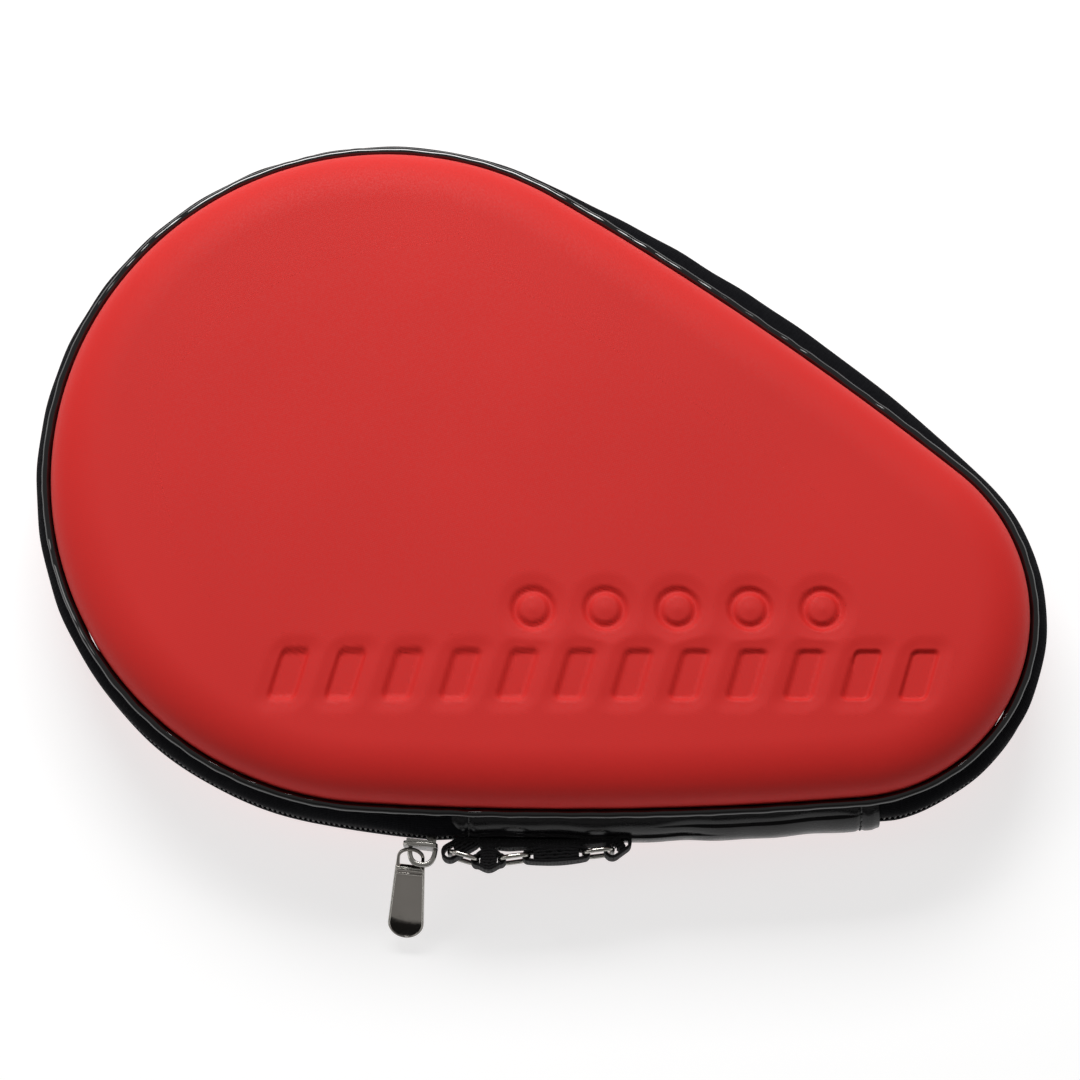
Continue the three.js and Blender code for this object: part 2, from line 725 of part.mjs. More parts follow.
// Mesh pocket over the blade end of the front half, with an elastic hem
const pocketTop = CASE_THICKNESS - liningDepth - POCKET_THICKNESS - FIT_GAP;
const pocketGrow = shellGrow - liningDepth - POCKET_INSET;
const pocketBottom = pocketTop - POCKET_THICKNESS;
const pocket = sheetAcross(pocketGrow, pocketBottom, pocketTop, -2 * BLADE_RADIUS, POCKET_EDGE_X);
const hemStart = POCKET_EDGE_X + FIT_GAP;
const hem = sheetAcross(pocketGrow, pocketTop - HEM_THICKNESS, pocketTop, hemStart, hemStart + HEM_WIDTH);
addPart('ball_pocket', pocket, meshCloth);
addPart('pocket_hem', hem, blackWebbing);

export default paddleCase;
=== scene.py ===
"""Paddle case: the visual model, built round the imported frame. Lengths are in metres, +Z is up."""

import math

import bmesh
import bpy
import numpy as np
from mathutils import Matrix, Vector


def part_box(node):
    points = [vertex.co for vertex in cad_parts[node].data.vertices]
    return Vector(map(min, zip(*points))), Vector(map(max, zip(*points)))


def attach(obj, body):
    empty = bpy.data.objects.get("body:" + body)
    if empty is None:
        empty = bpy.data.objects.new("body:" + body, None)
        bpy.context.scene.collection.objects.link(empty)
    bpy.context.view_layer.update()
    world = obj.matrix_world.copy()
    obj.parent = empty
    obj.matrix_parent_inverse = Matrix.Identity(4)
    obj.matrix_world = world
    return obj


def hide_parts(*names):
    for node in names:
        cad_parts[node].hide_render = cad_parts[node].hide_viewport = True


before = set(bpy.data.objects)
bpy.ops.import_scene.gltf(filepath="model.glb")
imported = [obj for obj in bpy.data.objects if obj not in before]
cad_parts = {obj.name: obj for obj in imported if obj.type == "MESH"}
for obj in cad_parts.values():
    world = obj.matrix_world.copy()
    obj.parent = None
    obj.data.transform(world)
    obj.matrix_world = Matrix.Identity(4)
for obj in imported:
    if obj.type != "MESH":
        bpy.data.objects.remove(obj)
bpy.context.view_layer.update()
RNG = np.random.default_rng(7)
MM = 0.001
TOUCH = 1e-6

# ---- Driving sizes, the same as the frame's ----

CENTRE_DISTANCE = 141.5 * MM
SEAM = {"blade": 100 * MM, "handle": 56 * MM, "side": 1000 * MM}
ZIP = {"blade": 102.9 * MM, "handle": 59.6 * MM, "side": 470 * MM}
CORNER_ZIP_OFFSET = 4 * MM
PIPING_RADIUS = 1.25 * MM
SHELL_GROW = -1.5 * MM
SHELL_ROLL = 17 * MM
SHELL_WALL = 3.5 * MM
LINING_GROW = -5.35 * MM
LINING_WALL = 0.9 * MM
SPINE_LENGTH = 124 * MM
SPINE_START = 26.5 * MM

CASE_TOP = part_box("front_shell")[1].z
MID_Z = CASE_TOP / 2
FRONT_SEAM_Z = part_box("front_shell")[0].z
RIM_HEIGHT = CASE_TOP - FRONT_SEAM_Z


# ---- Pear outlines ----
# Each outline is four arcs: lower side, handle end, upper side, blade end.


def arcs(shape):
    """The centre, radius, start angle and end angle of each arc of an outline."""
    to_blade = shape["side"] - shape["blade"]
    to_handle = shape["side"] - shape["handle"]
    x = (to_blade**2 - to_handle**2 + CENTRE_DISTANCE**2) / (2 * CENTRE_DISTANCE)
    y = math.sqrt(to_blade**2 - x**2)
    start = math.atan2(-y, -x)
    end = math.atan2(-y, CENTRE_DISTANCE - x)
    return [
        ((x, y), shape["side"], start, end),
        ((CENTRE_DISTANCE, 0.0), shape["handle"], end, -end),
        ((x, -y), shape["side"], -end, -start),
        ((0.0, 0.0), shape["blade"], -start, 2 * math.pi + start),
    ]


SEAM_ARCS = arcs(SEAM)
ARC_LENGTHS = np.array([radius * (end - start) for _, radius, start, end in SEAM_ARCS])
OUTLINE_LENGTH = ARC_LENGTHS.sum()


def seam_at(distance):
    """Points and outward normals of the seam at distances along it from the lower side's blade end."""
    distance = np.mod(np.asarray(distance, float), OUTLINE_LENGTH)
    edges = np.concatenate([[0], np.cumsum(ARC_LENGTHS)])
    points = np.zeros((len(distance), 2))
    normals = np.zeros((len(distance), 2))
    for k, (centre, radius, start, end) in enumerate(SEAM_ARCS):
        on = (distance >= edges[k]) & (distance <= edges[k + 1])
        angle = start + (end - start) * (distance[on] - edges[k]) / ARC_LENGTHS[k]
        normals[on] = np.stack([np.cos(angle), np.sin(angle)], -1)
        points[on] = np.array(centre) + radius * normals[on]
    return points, normals


def zip_offset(points, normals):
    """How far out along the seam's normal the zip line lies."""
    offset = np.full(len(points), CORNER_ZIP_OFFSET)
    for centre, radius, start, end in arcs(ZIP):
        rel = points - np.array(centre)
        along = (rel * normals).sum(1)
        root = np.sqrt(along**2 - (rel**2).sum(1) + radius**2)
        reach = root - along
        hit = rel + reach[:, None] * normals
        angle = np.arctan2(hit[:, 1], hit[:, 0])
        turn = np.mod(angle - start, 2 * math.pi)
        inside = turn <= end - start + TOUCH
        offset[inside] = reach[inside]
    return offset


# The spine's own frame: x along it towards the handle end, y into the case, z up from the middle
SPINE_ANGLE = SEAM_ARCS[0][2] + (SPINE_START + SPINE_LENGTH / 2) / SEAM["side"]
SPINE_TURN = SPINE_ANGLE + math.pi / 2
SPINE_POINT = Vector((*seam_at([SPINE_START + SPINE_LENGTH / 2])[0][0], MID_Z))
SPINE_MATRIX = Matrix.Translation(SPINE_POINT) @ Matrix.Rotation(SPINE_TURN, 4, "Z")


# ---- Mesh helpers ----


def shade(mesh, sharp):
    mesh.polygons.foreach_set("use_smooth", [True] * len(mesh.polygons))
    mesh.set_sharp_from_angle(angle=math.radians(sharp))


def add_object(name, data):
    obj = bpy.data.objects.new(name, data)
    bpy.context.scene.collection.objects.link(obj)
    return obj


def add_mesh(name, vertices, faces, uvs=None, sharp=40):
    """A new object. Edges that turn by more than the sharp angle, in degrees, stay crisp."""
    mesh = bpy.data.meshes.new(name)
    mesh.from_pydata([tuple(v) for v in vertices], [], [tuple(f) for f in faces])
    if uvs is not None:
        layer = mesh.uv_layers.new(name="along")
        corner = np.zeros(len(mesh.loops), int)
        mesh.loops.foreach_get("vertex_index", corner)
        layer.uv.foreach_set("vector", np.asarray(uvs, np.float32)[corner].ravel())
    shade(mesh, sharp)
    return add_object(name, mesh)


def clean(obj, merge=0.0):
    """Turns the faces outwards, after points that are closer than a distance are made one."""
    work = bmesh.new()
    work.from_mesh(obj.data)
    if merge:
        bmesh.ops.remove_doubles(work, verts=work.verts, dist=merge)
    bmesh.ops.recalc_face_normals(work, faces=work.faces)
    work.to_mesh(obj.data)
    work.free()


def grid_faces(rows, cols, wrap_rows, wrap_cols):
    """The four-sided faces between the points of a grid, which may close on itself either way."""
    r = np.arange(rows if wrap_rows else rows - 1)
    c = np.arange(cols if wrap_cols else cols - 1)
    r, c = np.meshgrid(r, c, indexing="ij")
    r2 = (r + 1) % rows
    c2 = (c + 1) % cols
    quads = np.stack([r * cols + c, r * cols + c2, r2 * cols + c2, r2 * cols + c], -1)
    return quads.reshape(-1, 4).tolist()


def skin(name, rows, wrap_rows, wrap_cols, uvs=None, caps=False, sharp=40):
    """A mesh over a grid of points, [row][column]. Caps close the first and last columns."""
    rows = np.asarray(rows, float)
    count, cols = rows.shape[:2]
    faces = grid_faces(count, cols, wrap_rows, wrap_cols)
    if caps:
        faces.append([r * cols for r in range(count)])
        faces.append([r * cols + cols - 1 for r in reversed(range(count))])
    flat_uvs = None if uvs is None else np.asarray(uvs).reshape(-1, 2)
    obj = add_mesh(name, rows.reshape(-1, 3), faces, flat_uvs, sharp=sharp)
    clean(obj)
    return obj


def along_path(path):
    """Distances along a path of points."""
    return np.concatenate([[0], np.cumsum(np.linalg.norm(np.diff(path, axis=0), axis=1))])


def directions(path, closed):
    """The unit direction of a path at each of its points."""
    tangent = np.roll(path, -1, 0) - np.roll(path, 1, 0) if closed else np.gradient(path, axis=0)
    return tangent / np.linalg.norm(tangent, axis=1)[:, None]


def uv_row(along, across):
    return np.column_stack([along, np.full(len(along), across)])


def sweep(name, distances, section, closed, sharp=40):
    """Sweeps a closed section round the seam. Each section point is (offset, z), and each of these may
    be one number or one for every distance."""
    points, normals = seam_at(distances)
    around = along_path([(np.mean(offset), np.mean(z)) for offset, z in section])
    rows, uvs = [], []
    for (offset, z), turned in zip(section, around):
        plan = points + normals * np.broadcast_to(offset, len(distances))[:, None]
        rows.append(np.column_stack([plan, np.broadcast_to(z, len(distances))]))
        uvs.append(uv_row(distances, turned))
    return skin(name, rows, True, closed, uvs, caps=not closed, sharp=sharp)


# along no piece's own axis, so a tube's first side is never undefined
ODD_DIRECTION = (0.31, 0.52, 0.79)


def tube(name, path, radius, sides=12, closed=False):
    """A round tube along points in space. The radius may be one number or one for each point."""
    path = np.asarray(path, float)
    radius = np.broadcast_to(radius, len(path))
    tangent = directions(path, closed)
    side = np.cross(tangent[0], ODD_DIRECTION)
    across = np.zeros_like(path)
    for k, t in enumerate(tangent):
        side = side - t * side.dot(t)
        side = side / np.linalg.norm(side)
        across[k] = side
    if closed:
        # spread the leftover twist evenly so that the tube meets itself
        end = across[-1] - tangent[0] * across[-1].dot(tangent[0])
        twist = math.atan2(np.cross(across[0], end).dot(tangent[0]), across[0].dot(end))
        angle = -twist * np.arange(len(path)) / len(path)
        up = np.cross(tangent, across)
        across = across * np.cos(angle)[:, None] + up * np.sin(angle)[:, None]
    up = np.cross(tangent, across)
    turns = 2 * math.pi * np.arange(sides) / sides
    rows = [path + radius[:, None] * (across * math.cos(a) + up * math.sin(a)) for a in turns]
    uvs = [uv_row(along_path(path), radius[0] * a) for a in turns]
    return skin(name, rows, True, closed, uvs, caps=not closed, sharp=60)


def plate(name, outlines, thickness, bevel, matrix, resolution=3):
    """A flat plate with rounded edges, from closed outlines in its own plane. Later ones are holes."""
    curve = bpy.data.curves.new(name, "CURVE")
    curve.dimensions = "2D"
    curve.fill_mode = "BOTH"
    curve.extrude = thickness / 2 - bevel
    curve.bevel_depth = bevel
    curve.bevel_resolution = resolution
    curve.offset = -bevel
    for outline in outlines:
        spline = curve.splines.new("POLY")
        spline.points.add(len(outline) - 1)
        for point, (x, y) in zip(spline.points, outline):
            point.co = (x, y, 0, 1)
        spline.use_cyclic_u = True
    holder = add_object(name + "_curve", curve)
    bpy.context.view_layer.update()
    mesh = bpy.data.meshes.new_from_object(holder)
    bpy.data.objects.remove(holder)
    mesh.name = name
    mesh.transform(matrix)
    obj = add_object(name, mesh)
    clean(obj, TOUCH)
    shade(mesh, 35)
    return obj


def join(name, objects):
    if len(objects) > 1:
        context = {"active_object": objects[0], "object": objects[0]}
        context.update(selected_objects=objects, selected_editable_objects=objects)
        with bpy.context.temp_override(**context):
            bpy.ops.object.join()
    objects[0].name = name
    objects[0].data.name = name
    return objects[0]


def arc(cx, cy, radius, start, end, steps):
    """Points on a circle from a start angle to an end angle, in degrees."""
    angles = np.radians(np.linspace(start, end, steps + 1))
    return [(cx + radius * math.cos(a), cy + radius * math.sin(a)) for a in angles]


def corners(radius, steps, *centres):
    """Quarter rounds about centres, each of which is x, y and the angle that its quarter starts at."""
    quarters = [arc(x, y, radius, start, start + 90, steps) for x, y, start in centres]
    return [point for quarter in quarters for point in quarter]


def rounded_rectangle(half_x, half_y, radius, steps=8):
    x, y = half_x - radius, half_y - radius
    return corners(radius, steps, (x, y, 0), (-x, y, 90), (-x, -y, 180), (x, -y, 270))


LARGEST_PHASE = 6.28


def waves(distances, size, shortest, longest, count=9):
    """A smooth irregular wobble round the outline, which closes on itself."""
    total = np.zeros(len(distances))
    for _ in range(count):
        turns = RNG.integers(int(OUTLINE_LENGTH / longest), int(OUTLINE_LENGTH / shortest) + 1)
        phase = RNG.uniform(0, LARGEST_PHASE)
        total += np.sin(2 * math.pi * turns * distances / OUTLINE_LENGTH + phase)
    return size * total / math.sqrt(count)


# ---- Materials ----


class Nodes:
    """Short calls that add nodes to a tree."""

    def __init__(self, tree):
        self.tree = tree

    def node(self, kind, inputs=None, **settings):
        """A new node. Inputs are sockets to link from or plain values, by name or by number."""
        made = self.tree.nodes.new(kind)
        for key, value in settings.items():
            setattr(made, key, value)
        for key, value in (inputs or {}).items():
            if isinstance(value, bpy.types.NodeSocket):
                self.tree.links.new(value, made.inputs[key])
            else:
                made.inputs[key].default_value = value
        return made

    def combine(self, operation, a, b):
        return self.node("ShaderNodeMath", {0: a, 1: b}, operation=operation).outputs[0]

    def ramp(self, factor, low, high, start=0.0, end=1.0):
        inputs = {"Value": factor, "From Min": start, "From Max": end, "To Min": low, "To Max": high}
        return self.node("ShaderNodeMapRange", inputs).outputs[0]


class Finish(Nodes):
    """The node material of a piece."""

    def __init__(self, name, **sockets):
        self.material = bpy.data.materials.new(name)
        self.material.use_nodes = True
        super().__init__(self.material.node_tree)
        self.shader = self.tree.nodes["Principled BSDF"]
        for key, value in sockets.items():
            self.shader.inputs[key.replace("_", " ")].default_value = value
        place = self.node("ShaderNodeTexCoord")
        self.coords = place.outputs["Object"]
        self.normal = place.outputs["Normal"]
        self.along = self.node("ShaderNodeUVMap", uv_map="along").outputs["UV"]

    def noise(self, scale, detail=3.0):
        inputs = {"Vector": self.coords, "Scale": scale, "Detail": detail, "Roughness": 0.5}
        return self.node("ShaderNodeTexNoise", inputs).outputs["Fac"]

    def bands(self, period, axis, vector=None):
        """Stripes that repeat after a period in metres."""
        inputs = {"Vector": vector or self.coords, "Scale": math.pi / (10 * period), "Detail": 1.0}
        wave = self.node("ShaderNodeTexWave", inputs, wave_type="BANDS", bands_direction=axis)
        return wave.outputs["Fac"]

    def cells(self, scale):
        """Distance from the edges of irregular cells."""
        inputs = {"Vector": self.coords, "Scale": scale}
        return self.node("ShaderNodeTexVoronoi", inputs, feature="DISTANCE_TO_EDGE").outputs["Distance"]

    def mix(self, factor, low, high):
        """A colour between two others, each of which is a socket or three numbers."""
        colors = [c if isinstance(c, bpy.types.NodeSocket) else (*c, 1) for c in (low, high)]
        inputs = {"Factor": factor, 6: colors[0], 7: colors[1]}
        return self.node("ShaderNodeMix", inputs, data_type="RGBA").outputs[2]

    def color(self, factor, low, high):
        self.tree.links.new(self.mix(factor, low, high), self.shader.inputs["Base Color"])

    def rough(self, factor, low, high, start=0.0, end=1.0):
        ramp = self.ramp(factor, low, high, start, end)
        self.tree.links.new(ramp, self.shader.inputs["Roughness"])

    def bump(self, height, strength, distance):
        before = self.shader.inputs["Normal"].links
        inputs = {"Height": height, "Strength": strength, "Distance": distance}
        if before:
            inputs["Normal"] = before[0].from_socket
        made = self.node("ShaderNodeBump", inputs)
        self.tree.links.new(made.outputs["Normal"], self.shader.inputs["Normal"])


def material(**sockets):
    """Turns a function that lays out nodes into the finish that has its name."""

    def make(lay_out):
        finish = Finish(lay_out.__name__, **sockets)
        lay_out(finish)
        return finish

    return make


@material(Sheen_Weight=0.06, Sheen_Roughness=0.4, Sheen_Tint=(1.0, 0.45, 0.4, 1), Specular_IOR_Level=0.32)
def red_cloth(f):
    cloud = f.noise(14, 4)
    fleck = f.noise(1800, 2)
    weave = f.combine("MULTIPLY", f.bands(0.55 * MM, "X"), f.bands(0.55 * MM, "Y"))
    mottle = f.combine("ADD", f.combine("MULTIPLY", cloud, 0.55), f.combine("MULTIPLY", fleck, 0.45))
    f.color(mottle, (0.63, 0.016, 0.013), (0.82, 0.028, 0.023))
    f.rough(fleck, 0.56, 0.74, 0.3, 0.7)
    f.bump(weave, 0.25, 0.05 * MM)
    f.bump(f.noise(900), 0.18, 0.06 * MM)
    f.bump(f.noise(60), 0.25, 0.12 * MM)


@material(Specular_IOR_Level=0.03, Coat_Weight=0.36, Coat_Roughness=0.03, Coat_IOR=3.0)
def gloss_vinyl(f):
    f.color(f.noise(90), (0.002, 0.002, 0.003), (0.007, 0.006, 0.006))
    f.rough(f.noise(220, 4), 0.10, 0.30, 0.3, 0.75)
    f.bump(f.noise(260, 2), 0.16, 0.05 * MM)


@material(Sheen_Weight=0.02, Specular_IOR_Level=0.04)
def zip_cloth(f):
    herring = f.combine("ADD", f.bands(1.1 * MM, "X", f.along), f.bands(0.7 * MM, "Y", f.along))
    f.color(f.noise(700), (0.003, 0.003, 0.004), (0.009, 0.009, 0.011))
    f.rough(f.noise(300, 2), 0.72, 0.95)
    f.bump(herring, 0.5, 0.10 * MM)
    f.bump(f.bands(0.55 * MM, "Y", f.along), 0.3, 0.08 * MM)


@material(Specular_IOR_Level=0.2)
def coil_nylon(f):
    f.color(f.noise(500, 2), (0.003, 0.003, 0.004), (0.009, 0.009, 0.010))
    f.rough(f.noise(420, 2), 0.30, 0.48)


@material(Specular_IOR_Level=0.1, Coat_Weight=0.2, Coat_Roughness=0.16, Coat_IOR=1.9)
def leatherette(f):
    f.color(f.noise(120, 4), (0.002, 0.002, 0.003), (0.007, 0.006, 0.007))
    f.rough(f.noise(160, 4), 0.20, 0.42, 0.3, 0.7)
    f.bump(f.ramp(f.cells(900.0), 0.0, 1.0, 0.0, 0.25), 0.4, 0.06 * MM)
    f.bump(f.noise(180, 4), 0.45, 0.25 * MM)


@material(Sheen_Weight=0.08, Specular_IOR_Level=0.15)
def ribbed_webbing(f):
    ribs = f.combine("MULTIPLY", f.bands(1.0 * MM, "X", f.along), f.bands(0.6 * MM, "Y", f.along))
    f.color(f.noise(600), (0.004, 0.004, 0.005), (0.014, 0.013, 0.014))
    f.rough(f.noise(500, 2), 0.62, 0.88)
    f.bump(ribs, 0.7, 0.2 * MM)


@material(Sheen_Weight=0.15, Specular_IOR_Level=0.2)
def brushed_lining(f):
    f.color(f.noise(40, 5), (0.020, 0.020, 0.022), (0.048, 0.048, 0.052))
    f.rough(f.noise(300, 2), 0.85, 1.0)
    f.bump(f.noise(1100, 4), 0.5, 0.12 * MM)


@material(Sheen_Weight=0.05, Specular_IOR_Level=0.15)
def binding_cloth(f):
    f.color(f.noise(500), (0.008, 0.008, 0.009), (0.022, 0.022, 0.023))
    f.rough(f.noise(260, 2), 0.7, 0.92)
    f.bump(f.bands(0.9 * MM, "X", f.along), 0.5, 0.15 * MM)
    f.bump(f.bands(0.5 * MM, "Y", f.along), 0.3, 0.08 * MM)


@material(Sheen_Weight=0.3)
def pocket_mesh(f):
    threads = f.ramp(f.cells(480.0), 1.0, 0.0, 0.02, 0.16)
    f.color(threads, (0.004, 0.004, 0.005), (0.040, 0.040, 0.043))
    f.rough(threads, 0.95, 0.7)
    f.bump(threads, 0.9, 0.3 * MM)


@material(Metallic=1.0)
def bright_nickel(f):
    height = f.node("ShaderNodeSeparateXYZ", {"Vector": f.normal}).outputs["Z"]
    plating = f.mix(f.noise(260, 4), (0.52, 0.50, 0.46), (0.80, 0.78, 0.73))
    # painted shade: the plating is dark on the sides that face down, away from the light, and full bright
    # on those that face up
    f.color(f.ramp(height, 0.0, 1.0, 0.15, 0.75), (0.07, 0.065, 0.06), plating)
    f.rough(f.noise(700, 4), 0.14, 0.32, 0.3, 0.7)
    f.bump(f.noise(900), 0.15, 0.04 * MM)


@material(Metallic=1.0)
def dark_nickel(f):
    f.color(f.noise(90, 4), (0.40, 0.375, 0.345), (0.52, 0.49, 0.455))
    f.rough(f.noise(1200, 4), 0.03, 0.08, 0.35, 0.7)
    f.bump(f.noise(300, 2), 0.02, 0.02 * MM)


@material(Sheen_Weight=0.3)
def thread(f):
    f.color(f.bands(0.4 * MM, "DIAGONAL"), (0.012, 0.012, 0.013), (0.045, 0.044, 0.043))
    f.rough(f.noise(900, 2), 0.5, 0.75)


def settle(obj, body, slot, finish, *nodes):
    """Gives a piece its finish and the body it rides on, and hides the CAD nodes that it stands for."""
    obj.data.materials.clear()
    obj.data.materials.append(finish.material)
    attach(obj, body)
    if nodes:
        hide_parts(*nodes)
    return obj


def settle_pair(build, piece, slot, finish, node):
    """Builds a piece for the front half and then its like for the rear half."""
    for half, rear in (("front", False), ("rear", True)):
        settle(build(f"{half}_{piece}", rear), f"{half}_half", slot, finish, f"{half}_{node}")


# ---- Shells ----

PATTERN_TURN = math.radians(17.3)
BAR_COUNT = 12
BAR_PITCH = 16.6 * MM
BAR_HALF = (3.9 * MM, 7.2 * MM)
BAR_SLANT = 0.3
BAR_ROW = (64.5 * MM, -62.5 * MM)
DOT_COUNT = 5
DOT_PITCH = 21 * MM
DOT_RADIUS = 5.3 * MM
DOT_HALF_GROOVE = 1.0 * MM
DOT_ROW = (86 * MM, -43 * MM)
BAR_CORNER = 1.6 * MM
PRESSED_DEPTH = 1.1 * MM
HALO_DEPTH = 0.45 * MM
HALO_WIDTH = 5.0 * MM
FACE_CROWN = 0.5 * MM
CROWN_REACH = 45 * MM
LAST_ROLL_INSET = 18 * MM
ROLL_POWER = 2.15


def smooth_step(value, low, high):
    """Goes smoothly from 0 at the low value to 1 at the high one."""
    t = np.clip((value - low) / (high - low), 0, 1)
    return t * t * (3 - 2 * t)


def pattern_depth(x, y):
    """Depth of the pressed pattern: a row of slanted bars, and a row of round grooves above it."""
    a = x * math.cos(PATTERN_TURN) + y * math.sin(PATTERN_TURN)
    b = -x * math.sin(PATTERN_TURN) + y * math.cos(PATTERN_TURN)
    distance = np.full(x.shape, 1.0)
    for i in range(BAR_COUNT):
        v = b - BAR_ROW[1]
        u = a - BAR_ROW[0] - (i - (BAR_COUNT - 1) / 2) * BAR_PITCH - v * BAR_SLANT
        qu = np.abs(u) - BAR_HALF[0] + BAR_CORNER
        qv = np.abs(v) - BAR_HALF[1] + BAR_CORNER
        outside = np.hypot(np.maximum(qu, 0), np.maximum(qv, 0))
        distance = np.minimum(distance, outside + np.minimum(np.maximum(qu, qv), 0) - BAR_CORNER)
    for i in range(DOT_COUNT):
        u = a - DOT_ROW[0] - (i - (DOT_COUNT - 1) / 2) * DOT_PITCH
        ring = np.abs(np.hypot(u, b - DOT_ROW[1]) - DOT_RADIUS) - DOT_HALF_GROOVE
        distance = np.minimum(distance, ring)
    pressed = PRESSED_DEPTH * smooth_step(-distance, -0.55 * MM, 0.65 * MM)
    halo = HALO_DEPTH * smooth_step(-distance, -HALO_WIDTH, 0.0)
    return pressed + halo


def roll_height(inset, roll, height):
    """Height of a shell's face above its rim, a given distance in from the edge."""
    t = np.clip(1 - inset / roll, 0, 1)
    return height * (1 - t**ROLL_POWER) ** (1 / ROLL_POWER)


# the rows of a shell run to the two end centres beyond these places, and to the middle line between them
BLADE_END_X = 30 * MM
HANDLE_END_X = CENTRE_DISTANCE + 22 * MM
LEAST_SLOPE = 1e-9


def shell_layer(columns, grow, insets, height_of):
    """Rows of points from the edge of a shell in to its middle line."""
    points, normals = seam_at(np.linspace(0, OUTLINE_LENGTH, columns, endpoint=False))
    edge = points + normals * grow
    # the inward normal from each edge point meets the middle line here
    slope = np.where(np.abs(normals[:, 1]) < LEAST_SLOPE, LEAST_SLOPE, normals[:, 1])
    reach = edge[:, 1] / slope
    middle_x = np.clip(edge[:, 0] - normals[:, 0] * reach, 0, CENTRE_DISTANCE)
    on_blade = np.hypot(edge[:, 0], edge[:, 1]) < SEAM["blade"] + grow + TOUCH / 10
    middle_x = np.where(on_blade & (edge[:, 0] < BLADE_END_X), 0, middle_x)
    middle_x = np.where(edge[:, 0] > HANDLE_END_X, CENTRE_DISTANCE, middle_x)
    middle = np.column_stack([middle_x, np.zeros(columns)])
    span = np.linalg.norm(edge - middle, axis=1)
    rows = []
    for inset in insets:
        beyond = LAST_ROLL_INSET + (span - LAST_ROLL_INSET) * (inset - 1)
        distance = beyond if inset > 1 else np.full(columns, inset)
        plan = middle if inset == 2 else edge - normals * distance[:, None]
        rows.append(np.column_stack([plan, height_of(plan[:, 0], plan[:, 1], distance)]))
    return rows


def inset_steps(fine, coarse):
    """Insets in metres over the roll, then one plus a share of the way to the middle."""
    near = LAST_ROLL_INSET * (np.linspace(0, 1, fine) ** 1.7)
    far = 1 + np.linspace(0, 1, coarse + 1)[1:]
    return list(near) + list(far)


def two_layers(name, outside, inside, rear):
    """A closed skin over an outer and an inner layer, turned over for the rear half."""
    rows = np.array(list(reversed(outside)) + inside)
    if rear:
        rows[..., 2] = CASE_TOP - rows[..., 2]
    obj = skin(name, rows, False, True, sharp=50)
    clean(obj, 0.02 * MM)
    return obj


def rolled(roll, height):
    """The height of a plain face over a shell's plan."""
    return lambda _x, _y, inset: FRONT_SEAM_Z + roll_height(inset, roll, height)


def build_shell(name, rear):
    """The front one has the pressed pattern, and so more rows and columns."""

    def outer(x, y, inset):
        crown = FACE_CROWN * smooth_step(inset, 0, CROWN_REACH)
        z = FRONT_SEAM_Z + roll_height(inset, SHELL_ROLL, RIM_HEIGHT - FACE_CROWN) + crown
        return z if rear else z - pattern_depth(x, y)

    inner = rolled(SHELL_ROLL - SHELL_WALL, RIM_HEIGHT - SHELL_WALL - 0.9 * MM)
    columns, coarse = (300, 12) if rear else (960, 84)
    outside = shell_layer(columns, SHELL_GROW, inset_steps(26, coarse), outer)
    inside = shell_layer(columns, SHELL_GROW - SHELL_WALL + 0.1 * MM, inset_steps(10, 4), inner)
    return two_layers(name, outside, inside, rear)


def build_lining(name, rear):
    roll = SHELL_ROLL - SHELL_WALL - 0.3 * MM
    height = RIM_HEIGHT - SHELL_WALL - 1.3 * MM
    steps = inset_steps(14, 6)
    outside = shell_layer(360, LINING_GROW, steps, rolled(roll, height))
    inner = rolled(roll, height - LINING_WALL)
    inside = shell_layer(360, LINING_GROW - LINING_WALL, steps, inner)
    return two_layers(name, outside, inside, rear)


settle_pair(build_shell, "shell_cloth", "red_shell", red_cloth, "shell")
settle_pair(build_lining, "lining_knit", "lining", brushed_lining, "lining")


# ---- Piping and binding ----

ROUND = np.linspace(0, OUTLINE_LENGTH, 1500, endpoint=False)
PIPING_SIDES = 18
BINDING_INNER = -5.8 * MM
BINDING_OUTER = -1.95 * MM


def for_half(profile, rear):
    """A section's points, turned over for the rear half."""
    return [(offset, CASE_TOP - z) for offset, z in profile] if rear else profile


def build_piping(name, rear):
    """The cord isn't quite round or level: it wobbles in and out, swells and lifts."""
    wobble = waves(ROUND, 0.07 * MM, 9 * MM, 60 * MM)
    swell = waves(ROUND, 0.05 * MM, 5 * MM, 30 * MM)
    lift = waves(ROUND, 0.10 * MM, 12 * MM, 80 * MM)
    radius = PIPING_RADIUS + swell
    z = FRONT_SEAM_Z + lift
    turns = 2 * math.pi * np.arange(PIPING_SIDES) / PIPING_SIDES
    profile = [(wobble + radius * math.cos(a), z + radius * math.sin(a)) for a in turns]
    return sweep(name, ROUND, for_half(profile, rear), True, sharp=70)


def build_binding(name, rear):
    low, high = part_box("front_binding")
    middle = (BINDING_OUTER + BINDING_INNER) / 2
    z = (low.z + high.z) / 2
    section = rounded_rectangle(BINDING_OUTER - middle, (high.z - low.z) / 2, 1.1 * MM, 4)
    puff = waves(ROUND, 0.12 * MM, 14 * MM, 90 * MM)
    profile = [(middle + dx + puff, z + dz) for dx, dz in section]
    return sweep(name, ROUND, for_half(profile, rear), True)


settle_pair(build_piping, "piping_cord", "piping", gloss_vinyl, "piping")
settle_pair(build_binding, "seam_binding", "binding", binding_cloth, "binding")


# ---- Zip tapes and coils ----

